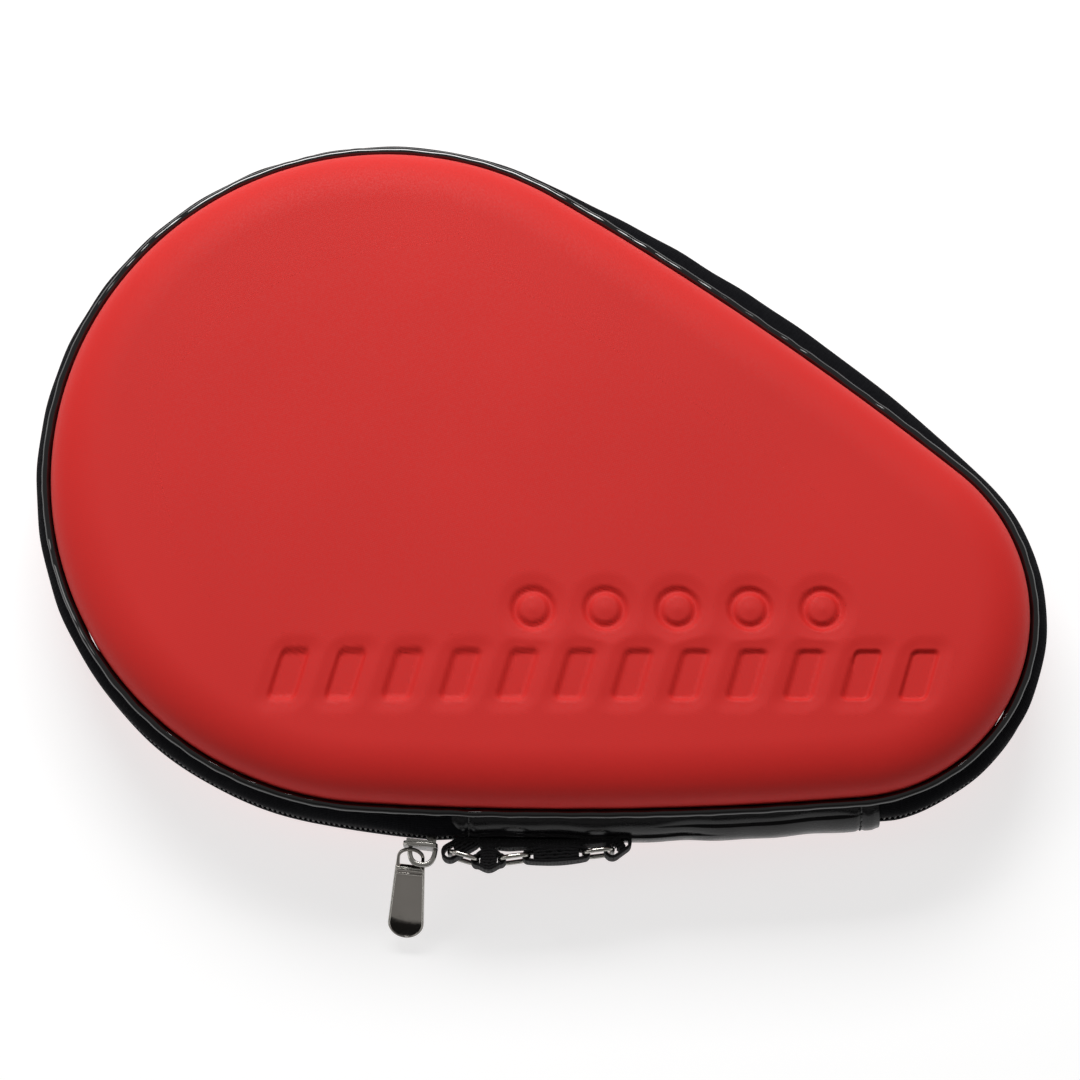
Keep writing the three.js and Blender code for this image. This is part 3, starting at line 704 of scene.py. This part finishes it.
SPINE_END_GAP = -3.0 * MM
ZIP_START = SPINE_START + SPINE_LENGTH + SPINE_END_GAP
ZIP_END = OUTLINE_LENGTH + SPINE_START - SPINE_END_GAP
ZIP_RUN = np.linspace(ZIP_START, ZIP_END, 1300)
TAPE_THICKNESS = 0.7 * MM
TAPE_TOP = FRONT_SEAM_Z - 0.9 * MM
TAPE_BOTTOM = MID_Z + 2.1 * MM
TAPE_ROOT = -0.9 * MM
TAPE_STEPS = 12


def zip_bow(distances):
    """How far out from the seam the zip's edge stands, at distances along the seam."""
    points, normals = seam_at(distances)
    bow = zip_offset(points, normals)
    # the ends of the zip are tucked in under the spine strip
    free = smooth_step(distances, ZIP_START, ZIP_START + 10 * MM)
    free = free * (1 - smooth_step(distances, ZIP_END - 9 * MM, ZIP_END))
    return bow + 0.5 * MM * free - 0.4 * MM * (1 - free)


def build_tape(name, rear):
    bow = zip_bow(ZIP_RUN)
    ripple = waves(ZIP_RUN, 0.16 * MM, 18 * MM, 120 * MM)
    outer, inner = [], []
    for share in np.arange(TAPE_STEPS + 1) / TAPE_STEPS:
        z = TAPE_TOP + (TAPE_BOTTOM - TAPE_TOP) * share
        swell = math.sin(min(share / 0.72, 1.0) * math.pi / 2) ** 1.2
        offset = TAPE_ROOT + (bow - TAPE_ROOT) * swell + ripple * math.sin(math.pi * share)
        outer.append((offset + TAPE_THICKNESS / 2, z))
        inner.append((offset - TAPE_THICKNESS / 2, z))
    profile = outer + inner[::-1]
    return sweep(name, ZIP_RUN, for_half(profile, rear), False)


COIL_PITCH = 1.5 * MM
COIL_RADIUS = 0.33 * MM
COIL_CENTRE = 0.95 * MM
COIL_HALF_HEIGHT = 1.2 * MM
COIL_HALF_DEPTH = 0.72 * MM
COIL_SET_BACK = 0.65 * MM
POINTS_PER_TURN = 10


def build_coil(name, rear):
    turns = int((ZIP_END - ZIP_START) / COIL_PITCH)
    phase = np.arange(turns * POINTS_PER_TURN + 1) / POINTS_PER_TURN
    distances = ZIP_START + phase * COIL_PITCH
    points, normals = seam_at(distances)
    depth = COIL_HALF_DEPTH * np.sin(2 * math.pi * phase)
    height = COIL_HALF_HEIGHT * np.cos(2 * math.pi * phase)
    plan = points + normals * (zip_bow(distances) - COIL_SET_BACK + depth)[:, None]
    z = MID_Z + height + (-COIL_CENTRE if rear else COIL_CENTRE)
    return tube(name, np.column_stack([plan, z]), COIL_RADIUS, sides=6)


settle_pair(build_tape, "zip_cloth", "zip_tape", zip_cloth, "zip_tape")
settle_pair(build_coil, "zip_coil", "zip_coil", coil_nylon, "zip_teeth")


# ---- Spine ----

SPINE_RUN = np.linspace(SPINE_START, SPINE_START + SPINE_LENGTH, 260)
SPINE_ALONG = (SPINE_RUN - SPINE_RUN[0]) / SPINE_LENGTH
SPINE_HALF = 11.3 * MM
SPINE_BOW = 6.4 * MM
SPINE_ROOT = 0.2 * MM
LEATHER_THICKNESS = 1.3 * MM
CREASE_DEPTH = 0.75 * MM
SEAM_INSET = 5 * MM
STITCHES_PER_ROW = 9
STITCH_PITCH = 0.215
STITCH_HALF = 0.075
POINTS_PER_STITCH = 7


def spine_offset(share, along):
    """Outward offset of the spine's face. The share runs from -1 at the rear seam to 1 at the front."""
    bulge = SPINE_ROOT + (SPINE_BOW - SPINE_ROOT) * (1 - abs(share) ** 2.4)
    # the cover folds over itself in long creases, each with a ledge that faces the front
    low_crease = 0.40 + 0.05 * np.sin(along * 9 + 0.5)
    low_reach = 1 - smooth_step(along, 0.52, 0.66)
    high_crease = 0.72 + 0.04 * np.sin(along * 7)
    high_reach = smooth_step(along, 0.46, 0.62) * (1 - smooth_step(along, 0.90, 0.97))
    tuck = 0
    for crease, reach in ((low_crease, low_reach), (high_crease, high_reach)):
        above = smooth_step(share, crease - 0.015, crease + 0.015)
        tuck = tuck + reach * above * np.exp(-np.maximum(share - crease, 0) / 0.22)
    return bulge - CREASE_DEPTH * tuck


def spine_strip(name, shares, offset_of, thickness):
    """A strip over the spine, whose outer face is at an offset for each share."""
    heights = MID_Z + shares * SPINE_HALF
    offsets = [offset_of(share) for share in shares]
    outer = list(zip(offsets, heights))
    inner = [(offset - thickness, z) for offset, z in outer]
    return sweep(name, SPINE_RUN, outer + inner[::-1], False)


def build_spine():
    """The cover's ends are turned in and pulled down along a row of stitches."""
    ripple = 0.22 * MM * np.sin(SPINE_ALONG * 19 + 1) + 0.15 * MM * np.sin(SPINE_ALONG * 43)
    edge = np.minimum(SPINE_ALONG, 1 - SPINE_ALONG) * SPINE_LENGTH
    turn_in = 0.5 * MM * (1 - smooth_step(edge, 0, 2.2 * MM))
    stitched = 0.55 * MM * np.exp(-(((edge - SEAM_INSET) / (0.9 * MM)) ** 2))

    def face(share):
        return spine_offset(share, SPINE_ALONG) + ripple * (1 - share**2) - turn_in - stitched

    return spine_strip("spine_leather", np.linspace(-1, 1, 151), face, LEATHER_THICKNESS)


def build_spine_lining():
    def face(share):
        return spine_offset(share, SPINE_ALONG) - LEATHER_THICKNESS - 0.2 * MM

    return spine_strip("spine_lining_knit", np.linspace(-0.8, 0.8, 17), face, 0.7 * MM)


def build_stitch_rows():
    stitches = []
    lift = 0.18 * MM * np.sin(np.linspace(0, math.pi, POINTS_PER_STITCH)) - 0.42 * MM
    for side, at in enumerate((SEAM_INSET, SPINE_LENGTH - SEAM_INSET)):
        points, normals = seam_at(np.full(POINTS_PER_STITCH, SPINE_START + at))
        for k in range(STITCHES_PER_ROW):
            middle = STITCH_PITCH * (k - (STITCHES_PER_ROW - 1) / 2)
            shares = np.linspace(middle - STITCH_HALF, middle + STITCH_HALF, POINTS_PER_STITCH)
            offsets = np.array([spine_offset(share, at / SPINE_LENGTH) for share in shares])
            plan = points + normals * (offsets + lift)[:, None]
            path = np.column_stack([plan, MID_Z + shares * SPINE_HALF])
            stitches.append(tube(f"stitch_{side}_{k}", path, 0.2 * MM, sides=8))
    return join("spine_stitches", stitches)


settle(build_spine(), "spine", "spine_leather", leatherette, "spine_cover")
settle(build_spine_lining(), "spine", "lining", brushed_lining, "spine_lining")
settle(build_stitch_rows(), "spine", "webbing", thread)


# ---- Slider ----

SLIDER_HALF = 5.1 * MM
SLIDER_ALONG = -SPINE_LENGTH / 2 - 3.9 * MM - SLIDER_HALF
SLIDER_RUN = {"blade": 103.2 * MM, "handle": 59.8 * MM, "side": 480 * MM}
SLIDER_FACE = 3.7 * MM
SLIDER_WIDE = 4.6 * MM
SLIDER_NARROW = 3.6 * MM
SLIDER_CORNER = 1.5 * MM
CHANNEL_HALF = 2.7 * MM
ON_SIDE = Matrix.Rotation(math.pi / 2, 4, "X")
BRIDGE_LEFT = -3.7 * MM
BRIDGE_RIGHT = 5.1 * MM
BRIDGE_RISE = 5.9 * MM
BRIDGE_THICKNESS = 1.4 * MM
BRIDGE_WIDTH = 2.0 * MM
BRIDGE_SQUARENESS = 2.7


def zip_frame_at(along):
    """The zip line's frame at a distance along the spine's frame: x along, y in, z up."""
    (cx, cy), radius, _, _ = arcs(SLIDER_RUN)[0]
    dx, dy = cx - SPINE_POINT.x, cy - SPINE_POINT.y
    centre_along = dx * math.cos(SPINE_TURN) + dy * math.sin(SPINE_TURN)
    angle = SPINE_TURN - math.acos((along - centre_along) / radius)
    place = Vector((cx + radius * math.cos(angle), cy + radius * math.sin(angle), MID_Z))
    return Matrix.Translation(place) @ Matrix.Rotation(angle + math.pi / 2, 4, "Z")


SLIDER_MATRIX = zip_frame_at(SLIDER_ALONG)


def on_slider(x, y, z=0.0):
    return SLIDER_MATRIX @ Matrix.Translation((x, y, z))


def slider_outline():
    """A rectangle with rounded corners, wider at the end that the zip opens towards."""
    x = SLIDER_HALF - SLIDER_CORNER
    wide, narrow = SLIDER_WIDE - SLIDER_CORNER, SLIDER_NARROW - SLIDER_CORNER
    return corners(SLIDER_CORNER, 6, (x, wide, 0), (-x, narrow, 90), (-x, -narrow, 180), (x, -wide, 270))


def build_slider_body():
    """Two plates joined by a post. The outer one's long edges turn in to guide the tape."""
    pieces = []
    for name, y, thickness in (
        ("outer", -SLIDER_FACE + 0.3 * MM, 1.4 * MM),
        ("inner", SLIDER_FACE - 0.5 * MM, 1.0 * MM),
    ):
        place = on_slider(0, y) @ ON_SIDE
        pieces.append(plate(f"slider_{name}", [slider_outline()], thickness, 0.35 * MM, place))
    post = rounded_rectangle(1.4 * MM, CHANNEL_HALF + 0.3 * MM, 0.3 * MM, 3)
    pieces.append(plate("slider_post", [post], 0.6 * MM, 0.1 * MM, on_slider(3.0 * MM, 0)))
    lip = rounded_rectangle(SLIDER_HALF - 1.2 * MM, 0.45 * MM, 0.3 * MM, 3)
    for side in (-1, 1):
        place = on_slider(-0.3 * MM, -SLIDER_FACE + 1.2 * MM, side * 3.7 * MM)
        pieces.append(plate(f"slider_lip_{side}", [lip], 0.9 * MM, 0.2 * MM, place))
    return join("slider_casting", pieces)


def build_bridge():
    """A flat strap of metal that rises from both ends of the outer plate in one arch."""
    centre = (BRIDGE_LEFT + BRIDGE_RIGHT) / 2
    half = (BRIDGE_RIGHT - BRIDGE_LEFT) / 2

    def arch(width, height):
        points = []
        for a in np.radians(np.linspace(180, 0, 33)):
            c, s = math.cos(a), math.sin(a)
            x = centre + width * math.copysign(abs(c) ** (2 / BRIDGE_SQUARENESS), c)
            points.append((x, -SLIDER_FACE - height * abs(s) ** (2 / BRIDGE_SQUARENESS)))
        return points

    inside = arch(half - BRIDGE_THICKNESS, BRIDGE_RISE - BRIDGE_THICKNESS)
    outline = arch(half, BRIDGE_RISE) + inside[::-1]
    return plate("slider_arch", [outline], BRIDGE_WIDTH, 0.45 * MM, SLIDER_MATRIX, resolution=4)


settle(build_slider_body(), "slider", "nickel", bright_nickel, "slider_body")
settle(build_bridge(), "slider", "nickel", bright_nickel, "slider_bridge")


# ---- Pull tab ----

TAB_LENGTH = 32 * MM
TAB_TOP_HALF = 4.1 * MM
TAB_END_HALF = 5.3 * MM
TAB_LEG = 1.0 * MM
TAB_BAR_RISE = 1.6 * MM
TAB_THICKNESS = 1.8 * MM
TAB_CROWN = 3.4 * MM
WINDOW_CROWN = 2.4 * MM
WINDOW_CORNER = 0.5 * MM
PLATE_CORNER = 0.35 * MM
RIDGE_DROPS = (0.9 * MM, 2.3 * MM)
TAB_TOP = TAB_BAR_RISE + TAB_LEG / 2
TAB_END_CENTRE = TAB_TOP - TAB_LENGTH + TAB_END_HALF
WINDOW_TOP = TAB_BAR_RISE - TAB_LEG / 2
WINDOW_BOTTOM = WINDOW_TOP - 5.4 * MM
TAB_HANG = Matrix.Rotation(math.radians(44), 4, "X")
TAB_MATRIX = on_slider(-2.5 * MM, -SLIDER_FACE - 2.4 * MM, 0.45 * MM) @ TAB_HANG


def crown(half_width, top, height, steps):
    """Half an ellipse, from its right side over its top."""
    angles = np.radians(np.linspace(0, 180, steps + 1))
    return [(half_width * math.cos(a), top - height + height * math.sin(a)) for a in angles]


def tab_window():
    half = TAB_TOP_HALF - TAB_LEG
    x, y = half - WINDOW_CORNER, WINDOW_BOTTOM + WINDOW_CORNER
    return crown(half, WINDOW_TOP, WINDOW_CROWN, 20) + corners(WINDOW_CORNER, 4, (-x, y, 180), (x, y, 270))


def tab_plate_outline(inset):
    x = TAB_TOP_HALF + 0.25 * MM - inset - PLATE_CORNER
    y = WINDOW_BOTTOM - inset - PLATE_CORNER
    upper = corners(PLATE_CORNER, 4, (x, y, 0), (-x, y, 90))
    return upper + arc(0, TAB_END_CENTRE, TAB_END_HALF - inset, 180, 360, 36)


def build_tab():
    """A thin loop, a thicker plate below its window, and two ridges across each face of the plate."""
    loop = crown(TAB_TOP_HALF, TAB_TOP, TAB_CROWN, 24) + arc(0, TAB_END_CENTRE, TAB_END_HALF, 180, 360, 32)
    pieces = [
        plate("tab_loop", [loop, tab_window()], 1.0 * MM, 0.35 * MM, TAB_MATRIX, resolution=4),
        plate("tab_plate", [tab_plate_outline(0)], TAB_THICKNESS, 0.45 * MM, TAB_MATRIX, resolution=4),
    ]
    ridge = rounded_rectangle(TAB_TOP_HALF - 0.35 * MM, 0.32 * MM, 0.25 * MM, 4)
    for side in (1, -1):
        for drop in RIDGE_DROPS:
            place = TAB_MATRIX @ Matrix.Translation((0, WINDOW_BOTTOM - drop, side * 0.88 * MM))
            pieces.append(plate("tab_ridge", [ridge], 0.5 * MM, 0.2 * MM, place))
    return join("pull_tab_metal", pieces)


def spaced(points, step):
    """Points at about equal steps along a closed path."""
    placed = []
    for a, b in zip(points, points[1:] + points[:1]):
        steps = max(1, int(math.dist(a, b) / step))
        placed += [Vector(a).lerp(Vector(b), k / steps) for k in range(steps)]
    return np.array([tuple(point) for point in placed])


def build_tab_rim():
    """A bead round the edge of the tab's front face, in the brighter nickel: a painted highlight along the
    tab's edge.
    """
    outline = [TAB_MATRIX @ Vector((x, y, 0.72 * MM)) for x, y in tab_plate_outline(0.35 * MM)]
    return tube("pull_tab_rim", spaced(outline, 0.6 * MM), 0.34 * MM, sides=10, closed=True)


settle(build_tab(), "pull", "dark_nickel", dark_nickel, "pull_tab")
# painted highlight: the rim bead takes the brighter nickel, not the tab's own dark nickel
settle(build_tab_rim(), "pull", "dark_nickel", bright_nickel)


# ---- Carry strap ----

RING_LENGTH = 9.7 * MM
RING_WIDTH = 14 * MM
RING_WIRE = 1.4 * MM
RING_CORNER = 3.2 * MM
WEBBING_WIDTH = 8.6 * MM
WEBBING_THICKNESS = 0.9 * MM
LOOSE_PLAY = 0.15 * MM
SWING_PLAY = 0.9 * MM
BASE_HALF = 0.65 * MM
BASE_SINK = 0.35 * MM
STRAP_MATRIX = SPINE_MATRIX @ Matrix.Translation((-SPINE_LENGTH / 2, -SPINE_BOW, 0))
# each ring's node, then its place along the spine and out from it in millimetres, and its tilt in degrees
STRAP_RINGS = (
    ("left_strap_ring", 3.0, 3.2, 18),
    ("middle_strap_ring", 17.8, 4.0, -6),
    ("right_strap_ring", 42.4, 2.9, -5),
)


def ring_matrix(along, out, tilt):
    turn = Matrix.Rotation(-math.radians(tilt), 4, "Z")
    return STRAP_MATRIX @ Matrix.Translation((along * MM, -out * MM, 0)) @ turn


def build_ring(name, matrix):
    half_x = (RING_LENGTH - RING_WIRE) / 2
    half_z = (RING_WIDTH - RING_WIRE) / 2
    path = [matrix @ Vector((x, 0, z)) for x, z in rounded_rectangle(half_x, half_z, RING_CORNER, 12)]
    return tube(name, spaced(path, 0.6 * MM), RING_WIRE / 2, sides=16, closed=True)


def bar_of(matrix, side):
    return matrix @ Vector((side * (RING_LENGTH - RING_WIRE) / 2, 0, 0))


def band_place(start, end):
    """A frame halfway between two points: x from one to the other, y into the case."""
    turn = math.atan2(end.y - start.y, end.x - start.x)
    return Matrix.Translation((start + end) / 2) @ Matrix.Rotation(turn, 4, "Z")


def sweep_band(name, path, place, closed):
    """Webbing along a path in its own XY plane, standing on edge, with edges that curl in a little."""
    tangent = directions(path, closed)
    out = np.column_stack([tangent[:, 1], -tangent[:, 0]])
    length = along_path(path)
    curl = 1 - 0.05 * np.sin(length / (2.1 * MM))
    rows, uvs = [], []
    for dx, dz in rounded_rectangle(WEBBING_THICKNESS / 2, WEBBING_WIDTH / 2, 0.38 * MM, 3):
        plan = path + out * dx
        rows.append([tuple(place @ Vector((x, y, dz * c))) for (x, y), c in zip(plan, curl)])
        uvs.append(uv_row(length, dz))
    return skin(name, rows, True, closed, uvs, caps=not closed, sharp=60)


def build_loop(name, start, end, play, outward=0.0, inward=0.0, peak=1.5, end_bar=True):
    """A loop of webbing round two bars. Its outer run is pushed away from the spine and its inner run
    towards it, and the folds of the strap fill the space between them."""
    span = (end - start).length
    middle = RING_WIRE / 2 + play + WEBBING_THICKNESS / 2
    t = np.linspace(0, 1, 33)
    outer = np.column_stack([span * (t - 0.5), -middle - outward * np.sin(math.pi * t) ** peak])
    inner = np.column_stack([span * (t - 0.5), middle + inward * np.sin(math.pi * t) ** 0.7])
    right = np.array(arc(span / 2, 0, middle, -90, 90, 14)[1:-1])
    left = np.array(arc(-span / 2, 0, middle, 90, 270, 14)[1:-1])
    place = band_place(start, end)
    pieces = [sweep_band(name, np.vstack([outer, right, inner[::-1], left]), place, True)]
    clear = 0.8 * middle
    keep = (outer[:, 0] > clear - span / 2) & (outer[:, 0] < span / 2 - clear * end_bar)
    gap = float((inner[16] - outer[16])[1])
    folds = max(1, round(gap / (1.1 * WEBBING_THICKNESS)) - 1)
    for k in range(1, folds + 1):
        share = k / (folds + 1)
        path = outer[keep] * (1 - share) + inner[keep] * share
        path[:, 1] += 0.12 * MM * np.sin(np.arange(len(path)) * (0.6 + 0.2 * k) + k)
        pieces.append(sweep_band(f"{name}_fold_{k}", path, place, False))
    return join(name, pieces)


def towards_spine(point, length, depth):
    """A point a given length along the spine from another one and a given depth closer to it."""
    return point + (SPINE_MATRIX.to_3x3() @ Vector((length, depth, 0)))


def base_thickness(along):
    """How far the strap's base stands out from the spine. It is folded double between the end rings, and
    thickest behind the two loops."""
    doubled = smooth_step(along, 7.5 * MM, 9 * MM) * (1 - smooth_step(along, 36.5 * MM, 39 * MM))
    left_fold = smooth_step(along, 8 * MM, 9.5 * MM) * (1 - smooth_step(along, 12 * MM, 13.5 * MM))
    right_fold = smooth_step(along, 23 * MM, 26 * MM) * (1 - smooth_step(along, 34 * MM, 37 * MM))
    return 0.95 * MM + 1.1 * MM * doubled + 0.9 * MM * (left_fold + right_fold)


def build_strap_base():
    """The flat webbing that both sewn tabs come from, laid along the spine under the rings."""
    run = np.linspace(SPINE_START + 1.5 * MM, SPINE_START + 49 * MM, 160)
    lift = 0.12 * MM * np.sin(run / (3.1 * MM)) + 0.1 * MM * np.sin(run / (1.3 * MM))
    depth = BASE_SINK + base_thickness(run - SPINE_START) + lift
    root = SPINE_BOW - BASE_SINK
    section = rounded_rectangle(BASE_HALF, WEBBING_WIDTH / 2, 0.5 * MM, 4)
    profile = [(root + depth * (1 + dx / BASE_HALF) / 2, MID_Z + dz) for dx, dz in section]
    return sweep("strap_base_webbing", run, profile, False, sharp=60)


ring_places = [ring_matrix(along, out, tilt) for _, along, out, tilt in STRAP_RINGS]
for (node, _, _, _), place in zip(STRAP_RINGS, ring_places):
    settle(build_ring(node + "_wire", place), "carry_strap", "nickel", bright_nickel, node)

bars = [(bar_of(place, -1), bar_of(place, 1)) for place in ring_places]
left_loop = build_loop("left_webbing", bars[0][1], bars[1][0], LOOSE_PLAY, 1.3 * MM, 1.6 * MM)
right_loop = build_loop("right_webbing", bars[1][1], bars[2][0], LOOSE_PLAY, 0.6 * MM, 0.9 * MM, 0.8)
settle(left_loop, "carry_strap", "webbing", ribbed_webbing, "left_webbing_loop")
settle(right_loop, "carry_strap", "webbing", ribbed_webbing, "right_webbing_loop")

left_bar = bars[0][0]
right_bar = bars[2][1]
left_end = towards_spine(left_bar, 6.5 * MM, 3.6 * MM)
right_end = towards_spine(right_bar, 3.2 * MM, 2.2 * MM)
left_tab = build_loop("left_tab_webbing", left_bar, left_end, SWING_PLAY, end_bar=False)
right_tab = build_loop("right_tab_webbing", right_bar, right_end, SWING_PLAY, end_bar=False)
settle(build_strap_base(), "spine", "webbing", ribbed_webbing)
settle(left_tab, "spine", "webbing", ribbed_webbing, "left_sewn_tab")
settle(right_tab, "spine", "webbing", ribbed_webbing, "right_sewn_tab")


# ---- Inside fittings ----

PADDLE_STRAP_INSET = 5.2 * MM
PADDLE_STRAP_HALF = 0.5 * MM
CASE_NARROWING = 0.36
POCKET_THICKNESS = 0.7 * MM
POCKET_SAG = 1.6 * MM
HEM_HALF = 0.8 * MM


def cross_strips(x, line, heights):
    """A row of points across the case for each height."""
    return [np.column_stack([np.full(len(line), x), line, z]) for z in heights]


def both_faces(pairs):
    """The upper rows of all pairs, and then the lower ones on the way back."""
    upper, lower = zip(*pairs)
    return np.array(upper + lower[::-1])


def build_paddle_strap():
    low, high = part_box("paddle_strap")
    middle = (low.z + high.z) / 2
    radius = SEAM["handle"] - PADDLE_STRAP_INSET
    pairs = []
    for x in np.linspace(low.x + 0.3 * MM, high.x - 0.3 * MM, 19):
        reach = math.sqrt(radius**2 - max(x - CENTRE_DISTANCE, 0) ** 2)
        reach = min(reach, radius + max(CENTRE_DISTANCE - x, 0) * CASE_NARROWING)
        line = np.linspace(-reach, reach, 61)
        z = middle + 0.18 * MM * np.sin(line / (1.3 * MM))
        pairs.append(cross_strips(x, line, (z + PADDLE_STRAP_HALF, z - PADDLE_STRAP_HALF)))
    grid = both_faces(pairs)
    uvs = np.stack([grid[..., 1], grid[..., 0]], -1)
    return skin("paddle_strap_elastic", grid, True, False, uvs, caps=True)


def pocket_reach(x, grow):
    """Half the width of the pocket at a place along the case."""
    blade = SEAM["blade"] + grow
    if x <= 0:
        return math.sqrt(max(blade**2 - x**2, 0))
    (cx, cy), radius, _, _ = SEAM_ARCS[0]
    return math.sqrt((radius + grow) ** 2 - (x - cx) ** 2) - cy


def build_pocket():
    """A sheet of mesh that sags between its sewn edge and its hem, and is pleated near the hem."""
    low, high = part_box("ball_pocket")
    grow = -(SEAM["blade"] + low.x) + 0.4 * MM
    rows = 60
    pairs = []
    for r in range(rows + 1):
        x = high.x - (high.x - low.x - 0.6 * MM) * (r / rows) ** 0.8
        reach = pocket_reach(x, grow)
        line = np.linspace(-reach, reach, 71)
        slack = np.clip(1 - (line / max(reach, TOUCH)) ** 2, 0, 1)
        sag = POCKET_SAG * slack * math.sin(math.pi * min(1, (r + 2) / (rows + 2)) ** 0.7)
        pleat = 0.35 * MM * slack * np.sin(line / (5.5 * MM)) * math.exp(-r / 14)
        z = high.z - 0.15 * MM - sag + pleat
        pairs.append(cross_strips(x, line, (z, z - POCKET_THICKNESS)))
    return skin("ball_pocket_mesh", both_faces(pairs), True, False, caps=True)


def build_hem():
    low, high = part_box("pocket_hem")
    middle_x = (low.x + high.x) / 2
    middle_z = (low.z + high.z) / 2
    reach = high.y - 0.5 * MM
    line = np.linspace(-reach, reach, 160)
    gather = 0.22 * MM * np.sin(line / (1.6 * MM))
    rows, uvs = [], []
    for dx, dz in rounded_rectangle((high.x - low.x) / 2, HEM_HALF, 0.6 * MM, 4):
        z = middle_z + dz + gather * (1 - abs(dz) / (2 * MM))
        uvs.append(uv_row(line, len(rows) * HEM_HALF))
        rows += cross_strips(middle_x + dx, line, [z])
    return skin("pocket_hem_elastic", rows, True, False, uvs, caps=True)


settle(build_paddle_strap(), "rear_half", "webbing", ribbed_webbing, "paddle_strap")
pocket = settle(build_pocket(), "front_half", "mesh", pocket_mesh, "ball_pocket")
hem = settle(build_hem(), "front_half", "webbing", ribbed_webbing, "pocket_hem")


# ---- Floor, camera and light ----

FLOOR_HALF = 3
FLOOR_DROP = 0.6 * MM
FLOOR_CORNERS = [(-1, -1), (1, -1), (1, 1), (-1, 1)]
PICTURE_TURN = math.radians(17.4)
TILT = math.radians(13.0)
PICTURE_RIGHT = Vector((math.cos(PICTURE_TURN), math.sin(PICTURE_TURN), 0))
PICTURE_UP = Vector((-math.sin(PICTURE_TURN), math.cos(PICTURE_TURN), 0))
TO_CAMERA = Vector((0, 0, 1)) * math.cos(TILT) - PICTURE_UP * math.sin(TILT)
TARGET = Vector((49.85 * MM, -5.4 * MM, FRONT_SEAM_Z))
CAMERA_DISTANCE = 1.2
PICTURE_WIDTH = 0.318
SENSOR_WIDTH = 36
MIDDLE = Vector((50 * MM, 0, MID_Z))
KEY_PLACE = MIDDLE + PICTURE_UP * 0.95 - PICTURE_RIGHT * 0.12 + Vector((0, 0, 1.0))
SIDE_PLACE = MIDDLE - PICTURE_RIGHT * 1.1 - PICTURE_UP * 0.1 + Vector((0, 0, 0.7))
# heights in the sky are the sine of the angle above the horizon
HORIZON_EDGE = 0.1705
HORIZON_GLOW = 0.015
FRONT_GLOW = 0.27
SKY_GLOW = 0.17
SKY_COLOR = (1.0, 0.985, 0.97, 1)


def add_floor():
    points = [(x * FLOOR_HALF, y * FLOOR_HALF, 0) for x, y in FLOOR_CORNERS]
    floor = add_mesh("floor", points, [(0, 1, 2, 3)])
    floor.location.z = -FLOOR_DROP
    finish = Finish("floor_paper", Roughness=0.9, Emission_Strength=0.7, Emission_Color=(1, 1, 1, 1))
    finish.color(finish.noise(3, 2), (0.44, 0.44, 0.44), (0.47, 0.47, 0.47))
    floor.data.materials.append(finish.material)


def add_camera():
    data = bpy.data.cameras.new("camera")
    data.sensor_width = SENSOR_WIDTH
    data.lens = SENSOR_WIDTH * CAMERA_DISTANCE / PICTURE_WIDTH
    camera = add_object("camera", data)
    up = TO_CAMERA.cross(PICTURE_RIGHT)
    turn = Matrix((PICTURE_RIGHT, up, TO_CAMERA)).transposed().to_4x4()
    camera.matrix_world = Matrix.Translation(TARGET + TO_CAMERA * CAMERA_DISTANCE) @ turn
    bpy.context.scene.camera = camera


def add_softbox(name, place, size, power):
    """A rectangular light that faces the middle of the case."""
    data = bpy.data.lights.new(name, "AREA")
    data.shape = "RECTANGLE"
    data.size, data.size_y = size
    data.energy = power
    light = add_object(name, data)
    light.location = place
    light.rotation_euler = (MIDDLE - place).to_track_quat("-Z", "Y").to_euler()


def add_sky():
    """Soft light from all round. On the side that the spine faces it is dark at the horizon, then bright
    in a band above a sharp edge, then dim."""
    world = bpy.data.worlds.new("studio")
    world.use_nodes = True
    sky = Nodes(world.node_tree)
    direction = sky.node("ShaderNodeTexCoord").outputs["Generated"]
    height = sky.node("ShaderNodeSeparateXYZ", {0: direction}).outputs["Z"]
    facing = sky.node("ShaderNodeVectorMath", {0: direction, 1: -PICTURE_UP}, operation="DOT_PRODUCT")
    sector = sky.ramp(facing.outputs["Value"], 0, 1, 0.35, 0.6)
    edge = sky.ramp(height, HORIZON_GLOW, FRONT_GLOW, HORIZON_EDGE, HORIZON_EDGE + 0.002)
    band = sky.combine("MULTIPLY", edge, sky.ramp(height, 1.0, 0.2, 0.34, 0.46))
    level = sky.node("ShaderNodeMix", {"Factor": sector, "A": SKY_GLOW, "B": band}).outputs["Result"]
    background = sky.tree.nodes["Background"]
    sky.tree.links.new(level, background.inputs["Strength"])
    background.inputs["Color"].default_value = SKY_COLOR
    bpy.context.scene.world = world


add_floor()
add_camera()
add_softbox("key_light", KEY_PLACE, (0.9, 0.55), 16.5)
add_softbox("side_light", SIDE_PLACE, (0.25, 0.8), 1.2)
add_sky()
bpy.context.scene.view_settings.view_transform = "Standard"
